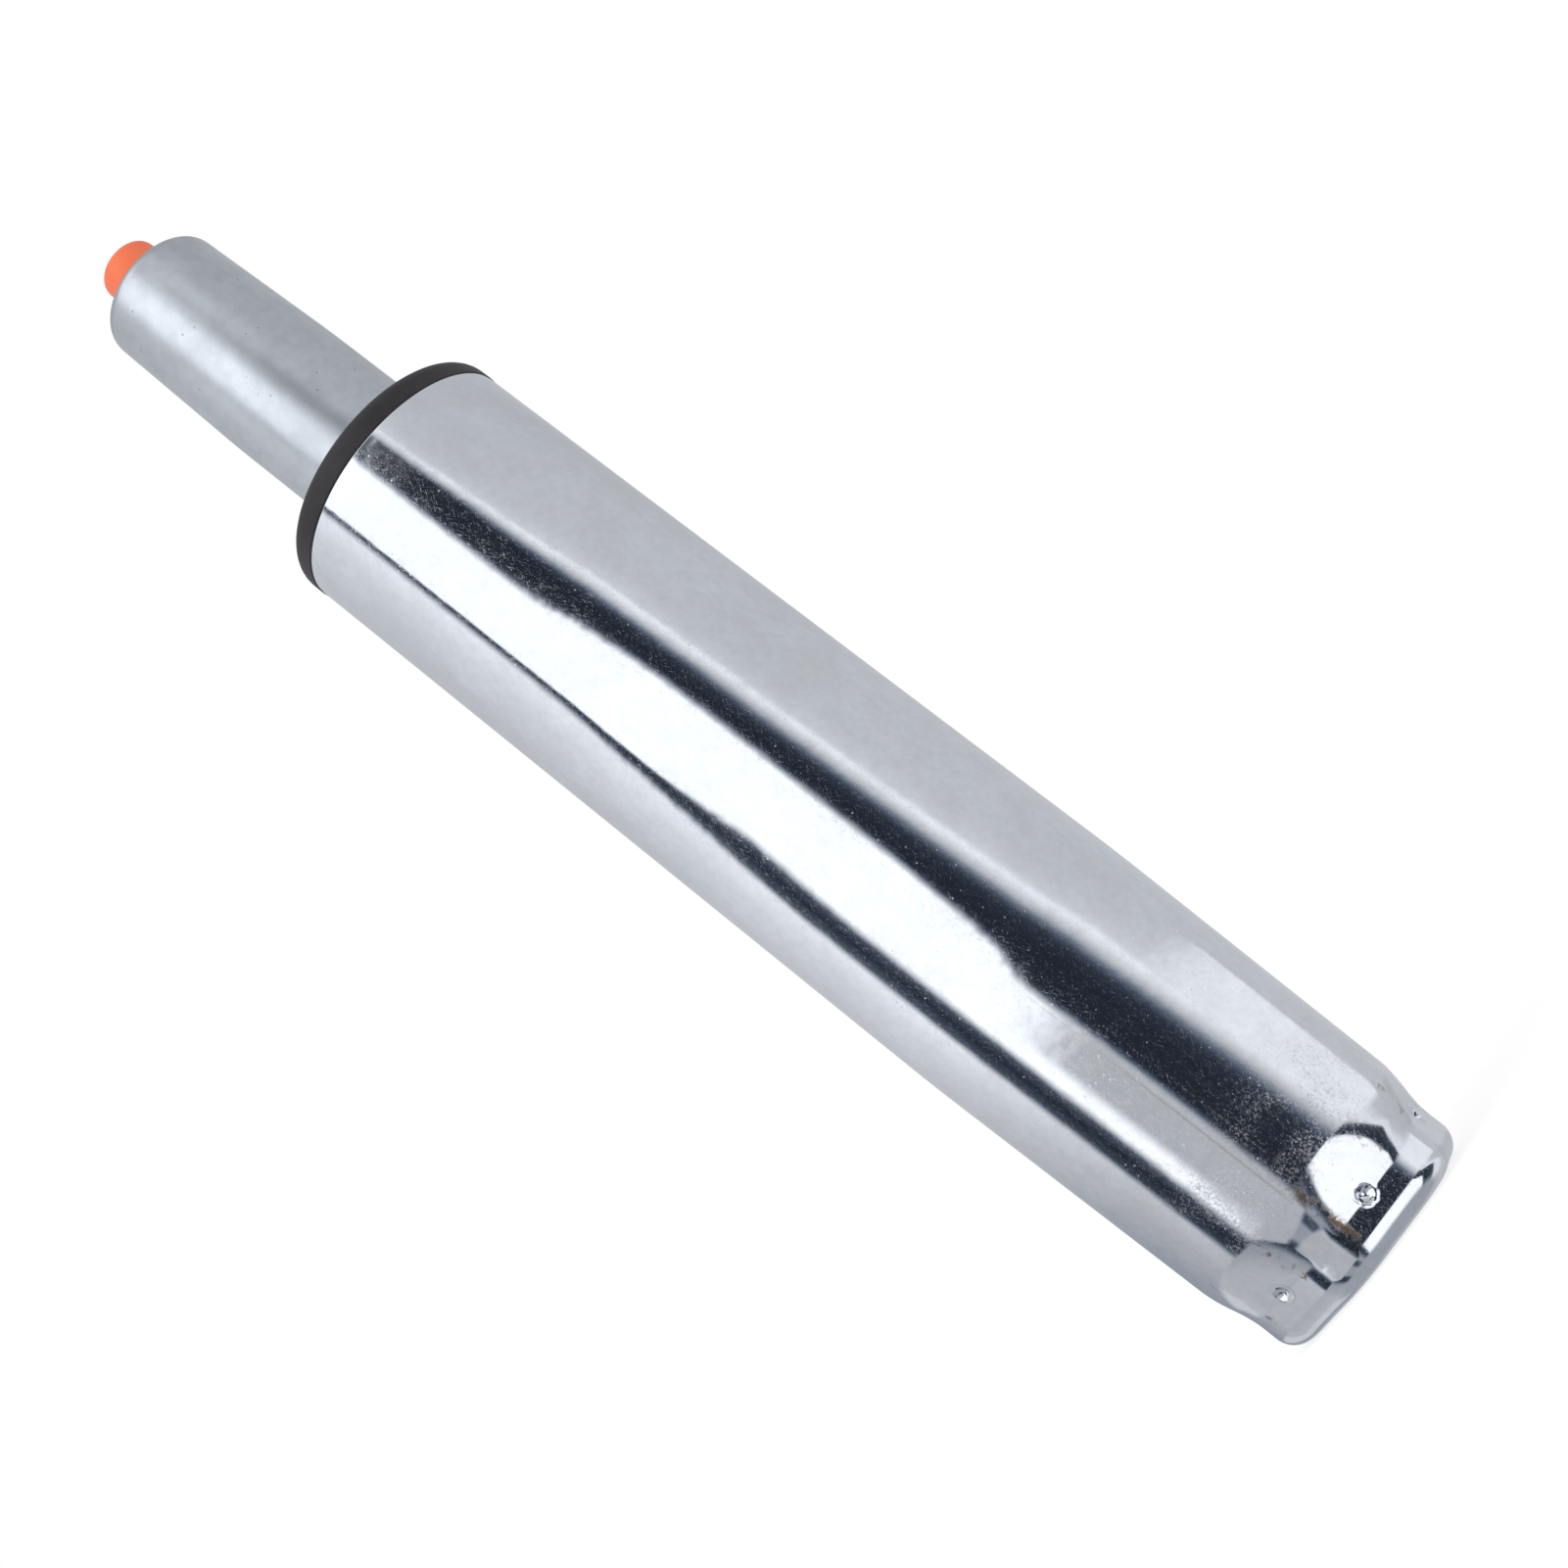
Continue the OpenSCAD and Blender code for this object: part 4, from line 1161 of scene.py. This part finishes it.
def bare_material(name):
    """A new material with nothing but its output: the material, its tree and the output's surface."""
    material = bpy.data.materials.new(name)
    material.use_nodes = True
    tree = material.node_tree
    tree.nodes.clear()
    return material, tree, add(tree, "ShaderNodeOutputMaterial").inputs["Surface"]


def tent_material():
    """Light of the tent by direction, bluer where it is dark."""
    material, tree, surface = bare_material("tent_panels")
    x, y, z = axes(tree, add(tree, "ShaderNodeTexCoord").outputs["Object"])
    degrees = 180 / math.pi
    azimuth = (-x).step("ARCTAN2", -y) * degrees
    rise = z.step("ARCTAN2", distance(x, y)) * degrees
    level = tent_level(tree, azimuth, rise)
    blue_shade = (0.60, 0.78, 1.15, 1.0)
    cool_light = (0.95, 0.985, 1.04, 1.0)
    colours = {0: level.ramp(0.02, 0.6), 6: blue_shade, 7: cool_light}
    tint = add(tree, "ShaderNodeMix", colours, data_type="RGBA")
    light = add(tree, "ShaderNodeEmission", {"Color": tint.outputs[2], "Strength": level})
    feed(surface, light.outputs[0])
    material.cycles.emission_sampling = "NONE"
    return material


def floor_material():
    """Pale floor that keeps the object's shadow; its underside is clear, so that the foot shows."""
    material, tree, surface = bare_material("pale_floor")
    matt = add(tree, "ShaderNodeBsdfDiffuse", {"Color": (0.3, 0.3, 0.3, 1.0)})
    glow = add(tree, "ShaderNodeEmission", {"Color": (1.0, 1.0, 1.0, 1.0), "Strength": 0.78})
    white = add(tree, "ShaderNodeAddShader", {0: matt.outputs[0], 1: glow.outputs[0]})
    clear = add(tree, "ShaderNodeBsdfTransparent")
    behind = add(tree, "ShaderNodeNewGeometry").outputs["Backfacing"]
    mix = add(tree, "ShaderNodeMixShader", {0: behind, 1: white.outputs[0], 2: clear.outputs[0]})
    feed(surface, mix.outputs[0])
    return material


def tent(s):
    """A ball of panels that only reflections see."""
    shape = bmesh.new()
    bmesh.ops.create_uvsphere(shape, u_segments=96, v_segments=48, radius=s.tent_radius)
    piece = placed("tent", shape)
    piece.data.materials.append(tent_material())
    piece.visible_camera = False
    piece.visible_diffuse = False
    piece.visible_transmission = False
    piece.visible_shadow = False


def floor(s):
    """A round floor just under the foot; reflections look through it to the tent."""
    shape = bmesh.new()
    bmesh.ops.create_circle(shape, cap_ends=True, segments=128, radius=s.floor_radius)
    bmesh.ops.translate(shape, verts=shape.verts, vec=(0, 0, -0.2 * MM))
    piece = placed("floor", shape)
    piece.data.materials.append(floor_material())
    piece.visible_glossy = False


def world(s):
    """White to the camera and to reflections, and an even light on everything else."""
    scene = bpy.context.scene
    scene.world = bpy.data.worlds.new("studio")
    scene.world.use_nodes = True
    tree = scene.world.node_tree
    path = add(tree, "ShaderNodeLightPath")
    seen = Term(tree, path.outputs["Is Camera Ray"]) + Term(tree, path.outputs["Is Glossy Ray"])
    seen = (seen + Term(tree, path.outputs["Is Transmission Ray"])).at_most(1)
    background = tree.nodes["Background"]
    feed(background.inputs["Color"], (1.0, 1.0, 1.0, 1.0))
    feed(background.inputs["Strength"], seen.blend(s.fill, 1.0))


def key_lamp(s):
    """One large soft lamp over the camera's left side, for form on the plastic pieces."""
    light = bpy.data.lights.new("key", "AREA")
    light.energy = s.key_power
    light.size = 0.9
    lamp = bpy.data.objects.new("key", light)
    place = Vector((-0.7, -1.0, 1.1))
    aim = Vector((0, 0, 0.15)) - place
    lamp.matrix_world = Matrix.Translation(place) @ aim.to_track_quat("-Z", "Y").to_matrix().to_4x4()
    lamp.visible_glossy = False
    bpy.context.scene.collection.objects.link(lamp)


def camera(s):
    """The photograph's camera: close to the foot, tilted up and rolled."""
    lens = bpy.data.cameras.new("camera")
    lens.sensor_width = 36
    lens.lens = s.lens
    lens.clip_start = 0.01
    seat = bpy.data.objects.new("camera", lens)
    tilt = Matrix.Rotation(math.pi / 2 + s.camera_tilt, 4, "X")
    roll = Matrix.Rotation(s.camera_roll, 4, "Z")
    seat.matrix_world = Matrix.Translation(s.camera_place) @ tilt @ roll
    bpy.context.scene.collection.objects.link(seat)
    bpy.context.scene.camera = seat


class GASLIFT_OT_column(bpy.types.Operator):
    """Builds the chromed column with its crimped foot"""

    bl_idname = "gaslift.column"
    bl_label = "Column"

    def execute(self, context):
        column_shell(context.scene.gaslift_column)
        return {"FINISHED"}


class GASLIFT_OT_collar(bpy.types.Operator):
    """Builds the black collar and its sleeve"""

    bl_idname = "gaslift.collar"
    bl_label = "Collar"

    def execute(self, context):
        guide_collar(context.scene.gaslift_collar, context.scene.gaslift_column)
        return {"FINISHED"}


class GASLIFT_OT_tube(bpy.types.Operator):
    """Builds the pressure tube"""

    bl_idname = "gaslift.tube"
    bl_label = "Pressure Tube"

    def execute(self, context):
        lift_tube(context.scene.gaslift_tube)
        return {"FINISHED"}


class GASLIFT_OT_button(bpy.types.Operator):
    """Builds the release button"""

    bl_idname = "gaslift.button"
    bl_label = "Release Button"

    def execute(self, context):
        release_button(context.scene.gaslift_button)
        return {"FINISHED"}


class GASLIFT_OT_foot(bpy.types.Operator):
    """Builds the cup and the washer that show under the foot"""

    bl_idname = "gaslift.foot"
    bl_label = "Foot Pieces"

    def execute(self, context):
        base_plate(context.scene.gaslift_column, context.scene.gaslift_bearing)
        foot_washer()
        return {"FINISHED"}


class GASLIFT_OT_inside(bpy.types.Operator):
    """Builds the balls and the seals, and finishes the nodes that still show"""

    bl_idname = "gaslift.inside"
    bl_label = "Inner Pieces"

    def execute(self, context):
        ball_set(context.scene.gaslift_bearing)
        round_seals(context.scene.gaslift_bearing)
        buffer_block()
        lip_seal()
        carried_nodes()
        return {"FINISHED"}


class GASLIFT_OT_studio(bpy.types.Operator):
    """Sets up the floor, the tent of panels, the light and the camera"""

    bl_idname = "gaslift.studio"
    bl_label = "Studio"

    def execute(self, context):
        settings = context.scene.gaslift_studio
        context.scene.view_settings.view_transform = "Standard"
        world(settings)
        tent(settings)
        floor(settings)
        key_lamp(settings)
        camera(settings)
        return {"FINISHED"}


GROUPS = {
    "gaslift_column": GASLIFT_PG_column, "gaslift_collar": GASLIFT_PG_collar, "gaslift_tube": GASLIFT_PG_tube,
    "gaslift_button": GASLIFT_PG_button, "gaslift_bearing": GASLIFT_PG_bearing,
    "gaslift_finish": GASLIFT_PG_finish, "gaslift_studio": GASLIFT_PG_studio,
}
OPERATORS = (
    GASLIFT_OT_studio, GASLIFT_OT_column, GASLIFT_OT_collar, GASLIFT_OT_tube, GASLIFT_OT_button,
    GASLIFT_OT_foot, GASLIFT_OT_inside,
)


class GASLIFT_PT_panel(bpy.types.Panel):
    """Lists the sizes, colours and steps of the gas lift"""

    bl_idname = "GASLIFT_PT_panel"
    bl_label = "Gas Lift"
    bl_space_type = "VIEW_3D"
    bl_region_type = "UI"
    bl_category = "Gas Lift"

    def draw(self, context):
        for name, group in GROUPS.items():
            box = self.layout.box()
            for value in group.__annotations__:
                box.prop(getattr(context.scene, name), value)
        for operator in OPERATORS:
            self.layout.operator(operator.bl_idname)


def register():
    """Registers the classes and puts the settings on the scene."""
    for name, group in GROUPS.items():
        bpy.utils.register_class(group)
        setattr(bpy.types.Scene, name, PointerProperty(type=group))
    for operator in OPERATORS:
        bpy.utils.register_class(operator)
    bpy.utils.register_class(GASLIFT_PT_panel)


def unregister():
    """Takes away what register set up."""
    bpy.utils.unregister_class(GASLIFT_PT_panel)
    for operator in OPERATORS:
        bpy.utils.unregister_class(operator)
    for name, group in GROUPS.items():
        delattr(bpy.types.Scene, name)
        bpy.utils.unregister_class(group)


def main():
    """Registers the add-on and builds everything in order."""
    register()
    bpy.ops.gaslift.studio()
    bpy.ops.gaslift.column()
    bpy.ops.gaslift.collar()
    bpy.ops.gaslift.tube()
    bpy.ops.gaslift.button()
    bpy.ops.gaslift.foot()
    bpy.ops.gaslift.inside()


if __name__ == "__main__":
    main()
